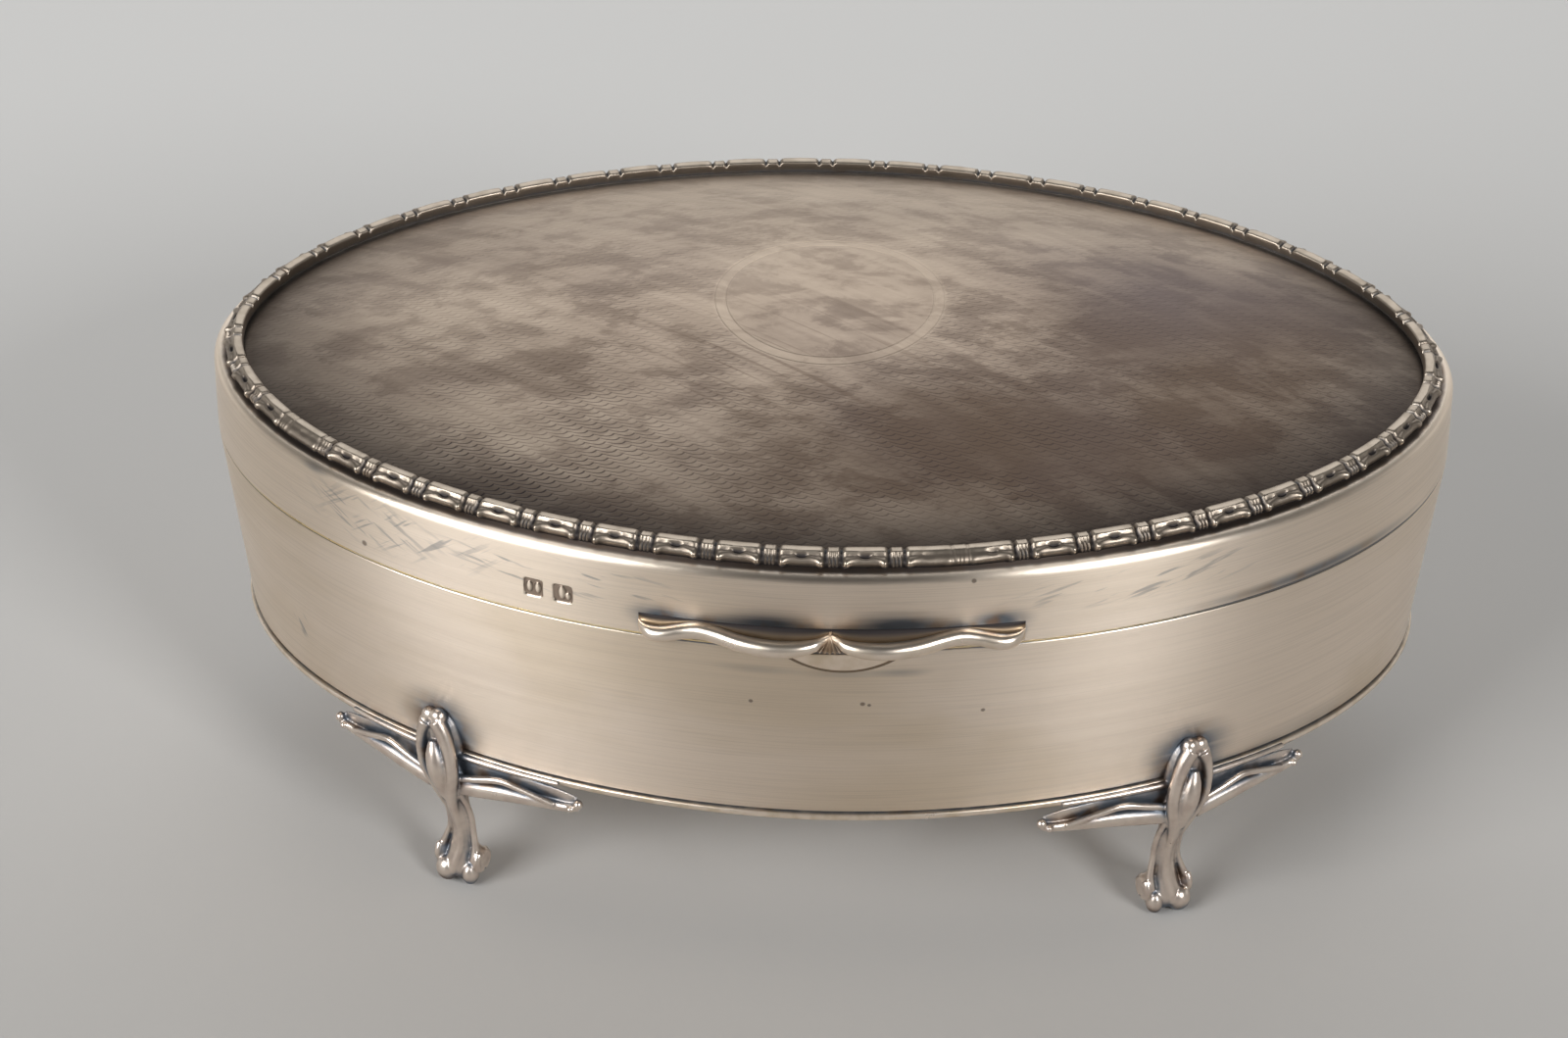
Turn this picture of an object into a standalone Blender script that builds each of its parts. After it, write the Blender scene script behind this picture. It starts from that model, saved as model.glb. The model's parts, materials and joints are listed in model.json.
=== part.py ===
# Oval silver dressing-table box: a tapering oval body on four cast cabriole feet, lined
# with velvet, and a domed lid with an applied bead-and-reel border, hinged along the back.
# Metres, +Z up. The origin lies on the table under the middle of the box, the long side
# runs along X and the front, with the thumbpiece, faces -Y.

import math

import bmesh
import bpy
import numpy as np
from mathutils import Matrix, Vector

MM = 0.001
GAP = 0.3 * MM  # left between pieces that touch or are soldered together

# The oval, taken at the joint between body and lid
HALF_LENGTH = 80.0 * MM
HALF_WIDTH = 49.0 * MM
FULLNESS = 1.9  # exponent of the oval: 2 is an ellipse, less is a leaner oval
SEGMENTS = 72
RUN_STEPS = 1440  # steps in which lengths along the oval are measured

# Heights above the table
BASE_Z = 21.0 * MM  # underside of the base plate
BASE_THICK = 0.9 * MM
WALL_Z = BASE_Z + BASE_THICK + GAP
JOINT_Z = 49.15 * MM  # the hinge axis and the line where body and lid meet
SHOULDER_Z = 59.5 * MM
APEX_Z = 68.0 * MM

# Sheet metal
SHEET = 0.9 * MM
TAPER = 2.1 * MM  # how far the wall leans in by its foot
BASE_PROUD = 0.5 * MM  # how far the base plate stands out past the wall
LID_LEAN = 0.35 * MM  # how far the lid band leans in below its rounded shoulder

# Bezel inside the mouth, over which the lid closes
BEZEL_THICK = 0.7 * MM
BEZEL_LOW = JOINT_Z - 6.2 * MM
BEZEL_HIGH = JOINT_Z + 2.4 * MM

# Lid top
FLANGE_INSET = 3.0 * MM  # inner edge of the flat flange behind the shoulder
BORDER_INSET = 3.1 * MM  # middle of the applied border
BORDER_HALF = 1.1 * MM
BORDER_HEIGHT = 1.3 * MM
BORDER_REPEATS = 52
BORDER_START = 2.8 * MM  # along the oval from +X to the middle of the first reel
BARREL_SHARE = 0.7  # of each repeat; the rest is the reel
REEL_SCALE = 0.66
TOP_SHEET = 0.8 * MM
TOP_RINGS = 5

# Thumbpiece on the lid: a lip with a rolled front edge, alike on both sides of its middle.
# Roll, in millimetres: distance from the middle, reach of its centre from the lid band,
# height of its centre over the joint, radius.
THUMB_X = 2.7 * MM  # it sits a little right of the middle
THUMB_ROLL = [
    (0.0, 0.5, 1.7, 0.42),
    (0.8, 1.1, 1.45, 0.6),
    (1.8, 1.9, 1.15, 0.72),
    (4.0, 2.4, 0.95, 0.8),
    (7.0, 2.5, 0.95, 0.8),
    (10.5, 2.0, 0.95, 0.8),
    (13.5, 1.0, 1.0, 0.8),
    (15.6, 0.65, 1.05, 0.82),
    (17.6, 0.9, 1.0, 0.75),
    (20.2, 1.5, 0.9, 0.7),
    (22.0, 1.2, 0.95, 0.6),
    (23.0, 0.5, 1.3, 0.45),
]
THUMB_STEPS = 2  # stations from one knot of the roll to the next
THUMB_ROOT = 2.3 * MM  # height over the joint at which the dish meets the band
THUMB_PEAK = 3.0 * MM  # the same at the middle, where the two bows meet
THUMB_PEAK_HALF = 2.0 * MM
THUMB_UNDER = 0.4 * MM  # height over the joint of its underside at the band
THUMB_DISH = 0.42  # depth of the dish, as a share of its width
THUMB_REACH = max(reach + radius for _, reach, _, radius in THUMB_ROLL) * MM

# Thin circular segment soldered to the wall under the thumbpiece
SEGMENT_X = 3.7 * MM
SEGMENT_RADIUS = 8.2 * MM
SEGMENT_DROP = 2.35 * MM
SEGMENT_TOP = 0.5 * MM  # under the joint
SEGMENT_THICK = 0.6 * MM
SEGMENT_POINTS = 21

# Feet, in millimetres: along the oval from the knee, out from the edge of the base plate, up
# from its underside, radius. Positive lengths run towards the end of the box.
FOOT_ANGLE = math.radians(37.8)  # of the knee, round the oval from the front
FOOT_LEG = [
    (0.5, 0.2, 6.3, 1.2),
    (0.2, -0.1, 4.0, 1.7),
    (-0.2, -0.1, 1.0, 1.8),
    (-0.8, 0.0, -2.5, 1.8),
    (-1.4, 0.0, -5.8, 1.6),
    (-1.6, -0.5, -9.0, 1.45),
    (-1.7, -0.9, -12.4, 1.4),
    (-1.6, -0.8, -15.2, 1.6),
    (-1.4, -0.5, -17.6, 2.0),
]
FOOT_NEAR_RIM = [
    (-0.3, 1.3, 6.0, 0.85),
    (-2.5, 1.9, 1.4, 0.75),
    (-2.8, 2.2, -1.6, 0.75),
    (-2.3, 2.1, -4.4, 0.75),
    (-1.9, 1.4, -7.0, 0.75),
    (-1.8, 0.5, -9.6, 0.7),
    (-1.9, 0.1, -12.3, 0.7),
    (-1.9, 0.3, -15.0, 0.75),
    (-1.4, 0.8, -17.4, 0.9),
    (-0.9, 0.9, -19.0, 1.0),
]
FOOT_FAR_RIM = [
    (1.2, 1.2, 5.5, 0.85),
    (2.3, 1.4, 1.0, 0.65),
    (1.7, 1.7, -1.5, 0.65),
    (0.6, 1.8, -3.6, 0.65),
    (-0.4, 1.5, -5.8, 0.65),
    (-0.8, 0.6, -8.4, 0.6),
]
FOOT_LEAF = [(0.0, 1.7, 2.4, 0.5), (-0.8, 2.1, -0.8, 1.0), (-1.5, 1.5, -5.6, 0.8)]
# Rounded masses: along, out, up, and their half-sizes in those directions
FOOT_MASSES = [
    (-0.3, -0.2, 1.2, 2.7, 1.5, 5.4),
    (-1.3, 0.0, -4.0, 2.2, 1.5, 3.8),
    (-1.4, -0.3, -18.6, 2.7, 2.5, 3.0),
    (-0.8, 1.0, -19.5, 1.3, 1.3, 1.9),
    (-3.4, 0.5, -18.8, 1.0, 1.3, 1.9),
    (1.4, -0.8, -17.4, 1.0, 2.1, 2.1),
    (-4.4, -0.9, -17.2, 1.0, 2.1, 2.1),
]
# Each wing: share of the way from the knee to its tip, out, up, radius
WING_REACHES = (-19.4, 16.8)
WING_BAND = [
    (0.06, 0.9, -4.4, 1.25),
    (0.25, 0.7, -3.8, 1.3),
    (0.5, 0.45, -3.2, 1.2),
    (0.75, 0.35, -3.1, 0.9),
    (1.0, 0.6, -2.4, 0.65),
]
WING_SCROLL = [(0.1, 1.2, -2.7, 0.6), (0.46, 0.9, -1.0, 0.6), (0.84, 0.7, -2.4, 0.5)]
WING_RIB = [(0.05, 0.45, 0.2, 0.7), (0.5, 0.35, 0.2, 0.6), (0.84, 0.25, 0.1, 0.5)]
WING_WEBS = [(0.22, -0.3, -2.1, 4.6, 0.75, 2.6), (0.6, -0.3, -1.9, 5.6, 0.7, 1.9)]
FOOT_VOXEL = 0.32 * MM
FOOT_RELAX = 3
FOOT_TRIANGLES = 1650

# Hinge
KNUCKLES = 5
KNUCKLE_LENGTH = 8.0 * MM
KNUCKLE_R = 1.3 * MM
BORE_R = 0.75 * MM
PIN_R = 0.6 * MM
HINGE_SIDES = 20
AXIS_Y = HALF_WIDTH + GAP + KNUCKLE_R
BEARER_REACH = THUMB_REACH  # behind the wall, as far as the thumbpiece stands out in front
BEARER_HEIGHT = 3.0 * MM
BEARER_DEPTH = 8.0 * MM  # from the hinge axis forward, before the band is cut out of it
PIN_PROUD = 0.3 * MM  # how far the pin stands out at each end
STOP_ANGLE = math.radians(107)  # the bearers' rear faces meet here

# Linings
CARD_THICK = 1.2 * MM
LINING_THICK = 1.5 * MM
PAD_THICK = 3.6 * MM
LID_PAD_THICK = 2.6 * MM
PAD_SEGMENTS = 48


def clear_scene():
    for obj in list(bpy.data.objects):
        bpy.data.objects.remove(obj, do_unlink=True)


def make_collection(name):
    collection = bpy.data.collections.new(name)
    bpy.context.scene.collection.children.link(collection)
    return collection


def make_material(name, color, roughness, metallic):
    material = bpy.data.materials.new(name)
    material.use_nodes = True
    shader = material.node_tree.nodes["Principled BSDF"]
    shader.inputs["Base Color"].default_value = (*color, 1.0)
    shader.inputs["Roughness"].default_value = roughness
    shader.inputs["Metallic"].default_value = metallic
    return material


def signed_power(value, power):
    return math.copysign(abs(value) ** power, value)


def oval_normal(angle):
    x = signed_power(math.cos(angle), 2 / FULLNESS)
    y = signed_power(math.sin(angle), 2 / FULLNESS)
    slope = Vector(
        (
            signed_power(x, FULLNESS - 1) / HALF_LENGTH,
            signed_power(y, FULLNESS - 1) / HALF_WIDTH,
        )
    )
    return slope.normalized()


def oval_point(angle, inset=0.0):
    # A point of the oval moved square to it, inwards where inset is positive.
    edge = Vector(
        (
            HALF_LENGTH * signed_power(math.cos(angle), 2 / FULLNESS),
            HALF_WIDTH * signed_power(math.sin(angle), 2 / FULLNESS),
        )
    )
    return edge - oval_normal(angle) * inset


def measured_oval(inset):
    # Lengths run along the oval from +X, and the angle at each.
    angles = np.linspace(0.0, math.tau, RUN_STEPS + 1)
    ring = np.array([oval_point(angle, inset) for angle in angles])
    steps = np.linalg.norm(np.diff(ring, axis=0), axis=1)
    return np.concatenate(([0.0], np.cumsum(steps))), angles


def wall_inset(z):
    # The body wall leans in evenly from the joint down to the base plate.
    return TAPER * (JOINT_Z - z) / (JOINT_Z - BASE_Z)


def add_object(name, mesh, material, collection, parent=None):
    obj = bpy.data.objects.new(name, mesh)
    if material:
        mesh.materials.clear()
        mesh.materials.append(material)
    collection.objects.link(obj)
    if parent:
        obj.parent = parent
        obj.matrix_parent_inverse = Matrix.Translation(-parent.location)
    return obj


def shade(mesh, sharp_degrees=40):
    mesh.shade_smooth()
    mesh.set_sharp_from_angle(angle=math.radians(sharp_degrees))


def wrapped_oval(name, profile, closed, segments=SEGMENTS):
    # A grid wrapped round the oval. Each profile point is (inset, z) or (inset, z, share),
    # where share draws the point in towards the middle: 0 is the middle itself.
    rows = len(profile) + (1 if closed else 0)
    bm = bmesh.new()
    bmesh.ops.create_grid(bm, x_segments=segments, y_segments=rows - 1, size=0.5)
    for vert in bm.verts:
        turn = (vert.co.x + 0.5) * math.tau
        inset, z, *share = profile[round((vert.co.y + 0.5) * (rows - 1)) % len(profile)]
        flat = oval_point(turn, inset) * (share[0] if share else 1.0)
        vert.co = (flat.x, flat.y, z)
    bmesh.ops.remove_doubles(bm, verts=bm.verts, dist=0.001 * MM)
    bmesh.ops.recalc_face_normals(bm, faces=bm.faces)
    if bm.calc_volume(signed=True) < 0:
        bmesh.ops.reverse_faces(bm, faces=bm.faces)
    mesh = bpy.data.meshes.new(name)
    bm.to_mesh(mesh)
    bm.free()
    shade(mesh)
    return mesh


def curve_object(name, points, collection, radii=None, cyclic=False):
    data = bpy.data.curves.new(name, "CURVE")
    data.dimensions = "3D"
    spline = data.splines.new("POLY")
    spline.points.add(len(points) - 1)
    for index, point in enumerate(points):
        spline.points[index].co = (*point, 1.0)
        spline.points[index].radius = radii[index] if radii else 1.0
    spline.use_cyclic_u = cyclic
    obj = bpy.data.objects.new(name, data)
    collection.objects.link(obj)
    return obj


def mesh_from(obj):
    # The object's evaluated mesh in world space; the object itself is removed.
    bpy.context.view_layer.update()
    graph = bpy.context.evaluated_depsgraph_get()
    evaluated = obj.evaluated_get(graph)
    mesh = bpy.data.meshes.new_from_object(evaluated)
    mesh.transform(obj.matrix_world)
    bm = bmesh.new()
    bm.from_mesh(mesh)
    bmesh.ops.remove_doubles(bm, verts=bm.verts, dist=0.001 * MM)
    bmesh.ops.recalc_face_normals(bm, faces=bm.faces)
    bm.to_mesh(mesh)
    bm.free()
    bpy.data.objects.remove(obj, do_unlink=True)
    return mesh


def as_cutter(obj):
    obj.hide_render = True
    obj.display_type = "WIRE"
    return obj


def cut(obj, cutter):
    modifier = obj.modifiers.new("Cut_" + cutter.name, "BOOLEAN")
    modifier.operation = "DIFFERENCE"
    modifier.object = cutter
    modifier.solver = "EXACT"


def oval_cutter(name, low, high, collection):
    # Everything inside the joint's oval and one gap beyond it, between two heights.
    profile = [(-GAP, low, 0.0), (-GAP, low), (-GAP, high), (-GAP, high, 0.0)]
    mesh = wrapped_oval(name, profile, closed=False)
    return as_cutter(add_object(name, mesh, None, collection))


def block(name, low, high, collection):
    bm = bmesh.new()
    bmesh.ops.create_cube(bm, size=1.0)
    low, high = Vector(low), Vector(high)
    size = high - low
    bmesh.ops.transform(
        bm,
        matrix=Matrix.Translation((low + high) / 2) @ Matrix.Diagonal((*size, 1.0)),
        verts=bm.verts,
    )
    mesh = bpy.data.meshes.new(name)
    bm.to_mesh(mesh)
    bm.free()
    return add_object(name, mesh, None, collection)


def tube_along_x(name, outer, bore, length, collection):
    # A turned ring whose axis lies along X, centred on its own origin.
    half = length / 2
    corners = [(outer, half), (outer, -half), (bore, -half), (bore, half)]
    if bore == 0.0:
        corners = [(0.0, half), (outer, half), (outer, -half), (0.0, -half)]
    bm = bmesh.new()
    verts = [bm.verts.new((radius, 0.0, height)) for radius, height in corners]
    ends = list(zip(verts, verts[1:] + verts[:1])) if bore else list(zip(verts, verts[1:]))
    for first, second in ends:
        bm.edges.new((first, second))
    mesh = bpy.data.meshes.new(name)
    bm.to_mesh(mesh)
    bm.free()
    obj = bpy.data.objects.new(name, mesh)
    collection.objects.link(obj)
    screw = obj.modifiers.new("Turned", "SCREW")
    screw.steps = HINGE_SIDES
    screw.render_steps = HINGE_SIDES
    screw.use_merge_vertices = True
    screw.merge_threshold = 0.001 * MM
    turned = mesh_from(obj)
    turned.transform(Matrix.Rotation(math.radians(90), 4, "Y"))
    bm = bmesh.new()
    bm.from_mesh(turned)
    bmesh.ops.recalc_face_normals(bm, faces=bm.faces)
    if bm.calc_volume(signed=True) < 0:
        bmesh.ops.reverse_faces(bm, faces=bm.faces)
    bm.to_mesh(turned)
    bm.free()
    shade(turned)
    return turned


def build_body(parts, silver, gilt):
    outer_low = wall_inset(WALL_Z)
    wall = wrapped_oval(
        "body_wall",
        [
            (outer_low, WALL_Z),
            (wall_inset(JOINT_Z - GAP / 2), JOINT_Z - GAP / 2),
            (SHEET, JOINT_Z - GAP / 2),
            (outer_low + SHEET, WALL_Z),
        ],
        closed=True,
    )
    add_object("body_wall", wall, silver, parts)

    edge = wall_inset(BASE_Z) - BASE_PROUD
    soft = 0.25 * MM  # rounding of the plate's edge
    top = BASE_Z + BASE_THICK
    plate = wrapped_oval(
        "base_plate",
        [
            (edge + soft, BASE_Z, 0.0),
            (edge + soft, BASE_Z),
            (edge, BASE_Z + soft),
            (edge, top - soft),
            (edge + soft, top),
            (edge + soft, top, 0.0),
        ],
        closed=False,
    )
    add_object("base_plate", plate, silver, parts)

    # The bezel follows the leaning wall up to the joint and stands upright inside the lid.
    chamfer = 0.2 * MM
    behind_wall = wall_inset(BEZEL_LOW) + SHEET + GAP
    upright = SHEET + GAP
    bezel = wrapped_oval(
        "rim_bezel",
        [
            (behind_wall, BEZEL_LOW),
            (upright, JOINT_Z),
            (upright, BEZEL_HIGH - chamfer),
            (upright + chamfer, BEZEL_HIGH),
            (upright + BEZEL_THICK, BEZEL_HIGH),
            (upright + BEZEL_THICK, JOINT_Z),
            (behind_wall + BEZEL_THICK, BEZEL_LOW),
        ],
        closed=True,
    )
    add_object("rim_bezel", bezel, gilt, parts)


def build_segment_plate(parts, silver):
    # A thin circular segment soldered to the wall just under the thumbpiece.
    rise = SEGMENT_RADIUS - SEGMENT_DROP
    half = math.acos(rise / SEGMENT_RADIUS)
    arc = np.linspace(-half, half, SEGMENT_POINTS)
    data = bpy.data.curves.new("rim_segment", "CURVE")
    data.dimensions = "2D"
    data.fill_mode = "BOTH"
    data.extrude = SEGMENT_THICK / 2
    spline = data.splines.new("POLY")
    spline.points.add(len(arc) - 1)
    for index, angle in enumerate(arc):
        across = SEGMENT_RADIUS * math.sin(angle)
        down = rise - SEGMENT_RADIUS * math.cos(angle)
        spline.points[index].co = (across, down, 0.0, 1.0)
    spline.use_cyclic_u = True
    obj = bpy.data.objects.new("rim_segment_outline", data)
    parts.objects.link(obj)
    lean = math.atan(TAPER / (JOINT_Z - BASE_Z))
    obj.rotation_euler = (math.radians(90) + lean, 0.0, 0.0)
    stand_off = GAP + SEGMENT_THICK / 2 + 0.15 * MM
    obj.location = (SEGMENT_X, -HALF_WIDTH - stand_off, JOINT_Z - SEGMENT_TOP)
    mesh = mesh_from(obj)
    shade(mesh)
    add_object("rim_segment", mesh, silver, parts)


def smooth_path(knots, steps):
    # Catmull-Rom curve through knots of any number of values.
    knots = np.array(knots, dtype=float)
    ends = np.vstack((knots[:1], knots, knots[-1:]))
    path = []
    for before, start, end, after in zip(ends, ends[1:], ends[2:], ends[3:]):
        slope_in = (end - before) / 2
        slope_out = (after - start) / 2
        for u in np.arange(steps) / steps:
            square, cube = u**2, u**3
            path.append(
                start * (2 * cube - 3 * square + 1)
                + slope_in * (cube - 2 * square + u)
                + end * (3 * square - 2 * cube)
                + slope_out * (cube - square)
            )
    path.append(knots[-1])
    return path


def thumb_section(reach, height, radius, root):
    # From under the lip, round its rolled edge and through the dish up to the band, as
    # (reach from the band, height over the joint).
    section = [(GAP, THUMB_UNDER)]
    for degrees in (-100, -60, -20, 20, 60, 100):
        turn = math.radians(degrees)
        section.append((reach + radius * math.cos(turn), height + radius * math.sin(turn)))
    lip_out, lip_up = section[-1]
    width = lip_out - GAP
    for share in (1 / 3, 2 / 3):
        sag = THUMB_DISH * width * 4 * share * (1 - share)
        section.append((lip_out - width * share, lip_up + (root - lip_up) * share - sag))
    section.append((GAP, root))
    return section


def build_thumbpiece(parts, silver, hinge):
    # A loft along X: each station takes the band's own place there as its root.
    half = [[value * MM for value in knot] for knot in smooth_path(THUMB_ROLL, THUMB_STEPS)]
    stations = [(-x, *rest) for x, *rest in reversed(half[1:])] + half
    bm = bmesh.new()
    rows = []
    for x, reach, height, radius in stations:
        across = THUMB_X + x
        band = HALF_WIDTH * (1 - abs(across / HALF_LENGTH) ** FULLNESS) ** (1 / FULLNESS)
        root = np.interp(abs(x), (0.0, THUMB_PEAK_HALF), (THUMB_PEAK, THUMB_ROOT))
        section = thumb_section(reach, height, radius, root)
        rows.append([bm.verts.new((across, -band - out, JOINT_Z + up)) for out, up in section])
    for first, second in zip(rows, rows[1:]):
        for index in range(len(first)):
            after = (index + 1) % len(first)
            bm.faces.new((first[index], first[after], second[after], second[index]))
    bm.faces.new(rows[0])
    bm.faces.new(rows[-1])
    bmesh.ops.triangulate(bm, faces=bm.faces)
    bmesh.ops.recalc_face_normals(bm, faces=bm.faces)
    mesh = bpy.data.meshes.new("thumbpiece")
    bm.to_mesh(mesh)
    bm.free()
    shade(mesh)
    add_object("thumbpiece", mesh, silver, parts, hinge)


def tapering_tube(name, points, collection, resolution=2):
    # Points are (x, y, z, radius).
    places = [point[:3] for point in points]
    obj = curve_object(name, places, collection, [point[3] for point in points])
    obj.data.bevel_depth = 1.0
    obj.data.bevel_resolution = resolution
    obj.data.use_fill_caps = True
    return mesh_from(obj)


def mass(centre, size, turn):
    # A rounded mass with its own half-sizes, turned about Z.
    bm = bmesh.new()
    stretch = Matrix.Diagonal((*size, 1.0))
    place = Matrix.Translation(centre) @ Matrix.Rotation(turn, 4, "Z") @ stretch
    bmesh.ops.create_uvsphere(bm, u_segments=20, v_segments=12, radius=1.0, matrix=place)
    mesh = bpy.data.meshes.new("mass")
    bm.to_mesh(mesh)
    bm.free()
    return mesh


def foot_meshes(parts):
    # The pieces of the front right foot, before they are melted into one casting.
    edge = wall_inset(BASE_Z) - BASE_PROUD
    run, angles = measured_oval(edge)
    knee = np.interp((FOOT_ANGLE - math.radians(90)) % math.tau, angles, run)

    def angle_at(along):
        return np.interp((knee + along * MM) % run[-1], run, angles)

    def placed(along, out, up):
        flat = oval_point(angle_at(along), edge - out * MM)
        return (flat.x, flat.y, BASE_Z + up * MM)

    def tube(knots, steps):
        path = [(*placed(*knot[:3]), knot[3] * MM) for knot in smooth_path(knots, steps)]
        return tapering_tube("strand", path, parts)

    def rounded(along, out, up, *size):
        normal = oval_normal(angle_at(along))
        turn = math.atan2(normal.y, normal.x) + math.radians(90)
        return mass(placed(along, out, up), [value * MM for value in size], turn)

    meshes = [tube(knots, 4) for knots in (FOOT_LEG, FOOT_NEAR_RIM, FOOT_FAR_RIM, FOOT_LEAF)]
    meshes += [rounded(*values) for values in FOOT_MASSES]
    for reach in WING_REACHES:
        for knots in (WING_BAND, WING_SCROLL, WING_RIB):
            meshes.append(tube([(share * reach, *rest) for share, *rest in knots], 4))
        for share, *rest in WING_WEBS:
            meshes.append(rounded(share * reach, *rest))
    return meshes


def build_feet(parts, cutters, silver):
    bm = bmesh.new()
    for mesh in foot_meshes(parts):
        bm.from_mesh(mesh)
    rough = bpy.data.meshes.new("foot_rough")
    bm.to_mesh(rough)
    bm.free()
    obj = add_object("foot_rough", rough, None, parts)
    melt = obj.modifiers.new("Melt", "REMESH")
    melt.mode = "VOXEL"
    melt.voxel_size = FOOT_VOXEL
    relax = obj.modifiers.new("Relax", "SMOOTH")
    relax.factor = 0.5
    relax.iterations = FOOT_RELAX
    melted = mesh_from(obj)
    obj = add_object("foot_melted", melted, None, parts)
    thin = obj.modifiers.new("Thin", "DECIMATE")
    thin.ratio = FOOT_TRIANGLES / sum(len(face.vertices) - 2 for face in melted.polygons)
    thinned = mesh_from(obj)

    # The casting clears the base plate and the wall by one gap, and stands on a flat sole.
    edge = wall_inset(BASE_Z) - BASE_PROUD - GAP
    over_plate = BASE_Z + BASE_THICK + GAP
    above = BASE_Z + 20 * MM  # well over the knee
    profile = [
        (edge, BASE_Z - GAP, 0.0),
        (edge, BASE_Z - GAP),
        (edge, over_plate),
        (wall_inset(WALL_Z) - GAP, over_plate + GAP),
        (wall_inset(above) - GAP, above),
        (edge, above, 0.0),
    ]
    seat_mesh = wrapped_oval("cut_foot_seat", profile, closed=False)
    seat = as_cutter(add_object("cut_foot_seat", seat_mesh, None, cutters))
    reach = 1.2 * HALF_LENGTH
    floor = as_cutter(block("cut_foot_sole", (0, -reach, -reach), (reach, 0, 0), cutters))
    obj = add_object("foot_cast", thinned, None, parts)
    cut(obj, seat)
    cut(obj, floor)
    foot = mesh_from(obj)
    shade(foot, 50)
    for name, scale in (
        ("foot_front_right", (1, 1, 1)),
        ("foot_front_left", (-1, 1, 1)),
        ("foot_back_right", (1, -1, 1)),
        ("foot_back_left", (-1, -1, 1)),
    ):
        add_object(name, foot, silver, parts).scale = scale


def build_hinge(parts, cutters, silver, steel, hinge):
    total = KNUCKLES * KNUCKLE_LENGTH + (KNUCKLES - 1) * GAP
    labels = ("body_left", "lid_left", "body_middle", "lid_right", "body_right")
    for index, label in enumerate(labels):
        name = "knuckle_" + label
        mesh = tube_along_x(name, KNUCKLE_R, BORE_R, KNUCKLE_LENGTH, parts)
        middle = -total / 2 + KNUCKLE_LENGTH / 2 + index * (KNUCKLE_LENGTH + GAP)
        mesh.transform(Matrix.Translation((middle, AXIS_Y, JOINT_Z)))
        add_object(name, mesh, silver, parts, hinge if label.startswith("lid") else None)
    pin = tube_along_x("hinge_pin", PIN_R, 0.0, total + 2 * PIN_PROUD, parts)
    pin.transform(Matrix.Translation((0, AXIS_Y, JOINT_Z)))
    add_object("hinge_pin", pin, steel, parts)

    # Each bearer fills the wedge between the curved band and the straight row of knuckles.
    # Its rear face leans back by half the stop angle, so the two faces meet at the stop.
    lean_y = BEARER_REACH - (AXIS_Y - HALF_WIDTH)
    lean_z = lean_y * math.tan(STOP_ANGLE / 2)
    for name, up in (("hinge_bearer_lid", 1), ("hinge_bearer_body", -1)):
        section = [
            (-BEARER_DEPTH, GAP / 2),
            (-BEARER_DEPTH, BEARER_HEIGHT),
            (lean_y * 0.4, BEARER_HEIGHT),
            (lean_y, lean_z),
            (0.0, GAP / 2),
        ]
        bm = bmesh.new()
        verts = [bm.verts.new((-total / 2, AXIS_Y + y, JOINT_Z + up * z)) for y, z in section]
        face = bm.faces.new(verts)
        grown = bmesh.ops.extrude_face_region(bm, geom=[face])
        moved = [item for item in grown["geom"] if isinstance(item, bmesh.types.BMVert)]
        bmesh.ops.translate(bm, vec=(total, 0, 0), verts=moved)
        bmesh.ops.recalc_face_normals(bm, faces=bm.faces)
        mesh = bpy.data.meshes.new(name)
        bm.to_mesh(mesh)
        bm.free()
        bearer = add_object(name, mesh, silver, parts, hinge if up > 0 else None)
        groove = tube_along_x("cut_groove", KNUCKLE_R + GAP, 0.0, total * 1.2, parts)
        groove.transform(Matrix.Translation((0, AXIS_Y, JOINT_Z)))
        cut(bearer, as_cutter(add_object("cut_groove_" + name, groove, None, cutters)))
        reach = 2 * BEARER_HEIGHT
        cut(bearer, oval_cutter("cut_band_" + name, JOINT_Z - reach, JOINT_Z + reach, cutters))


def build_lid(parts, silver, hinge):
    low = JOINT_Z + GAP / 2
    turn = 1.1 * MM  # radius of the rounded shoulder
    shoulder = [
        (
            LID_LEAN + turn - turn * math.cos(math.radians(angle)),
            SHOULDER_Z - turn + turn * math.sin(math.radians(angle)),
        )
        for angle in (0, 30, 60, 90)
    ]
    under = SHOULDER_Z - SHEET
    band = wrapped_oval(
        "lid_band",
        [
            (0.0, low),
            *shoulder,
            (FLANGE_INSET, SHOULDER_Z),
            (FLANGE_INSET, under),
            (LID_LEAN + turn + 0.5 * MM, under),
            (LID_LEAN + SHEET, under - 0.7 * MM),
            (SHEET, low),
        ],
        closed=True,
    )
    add_object("lid_band", band, silver, parts, hinge)

    edge = FLANGE_INSET + GAP
    rise = APEX_Z - SHOULDER_Z
    shares = [index / TOP_RINGS for index in range(TOP_RINGS + 1)]
    upper = [(edge, SHOULDER_Z + rise * (1 - share**2), share) for share in shares]
    lower = [(edge, z - TOP_SHEET, share) for _, z, share in reversed(upper)]
    top = wrapped_oval("lid_top", upper + lower, closed=False)
    add_object("lid_top", top, silver, parts, hinge)


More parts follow.
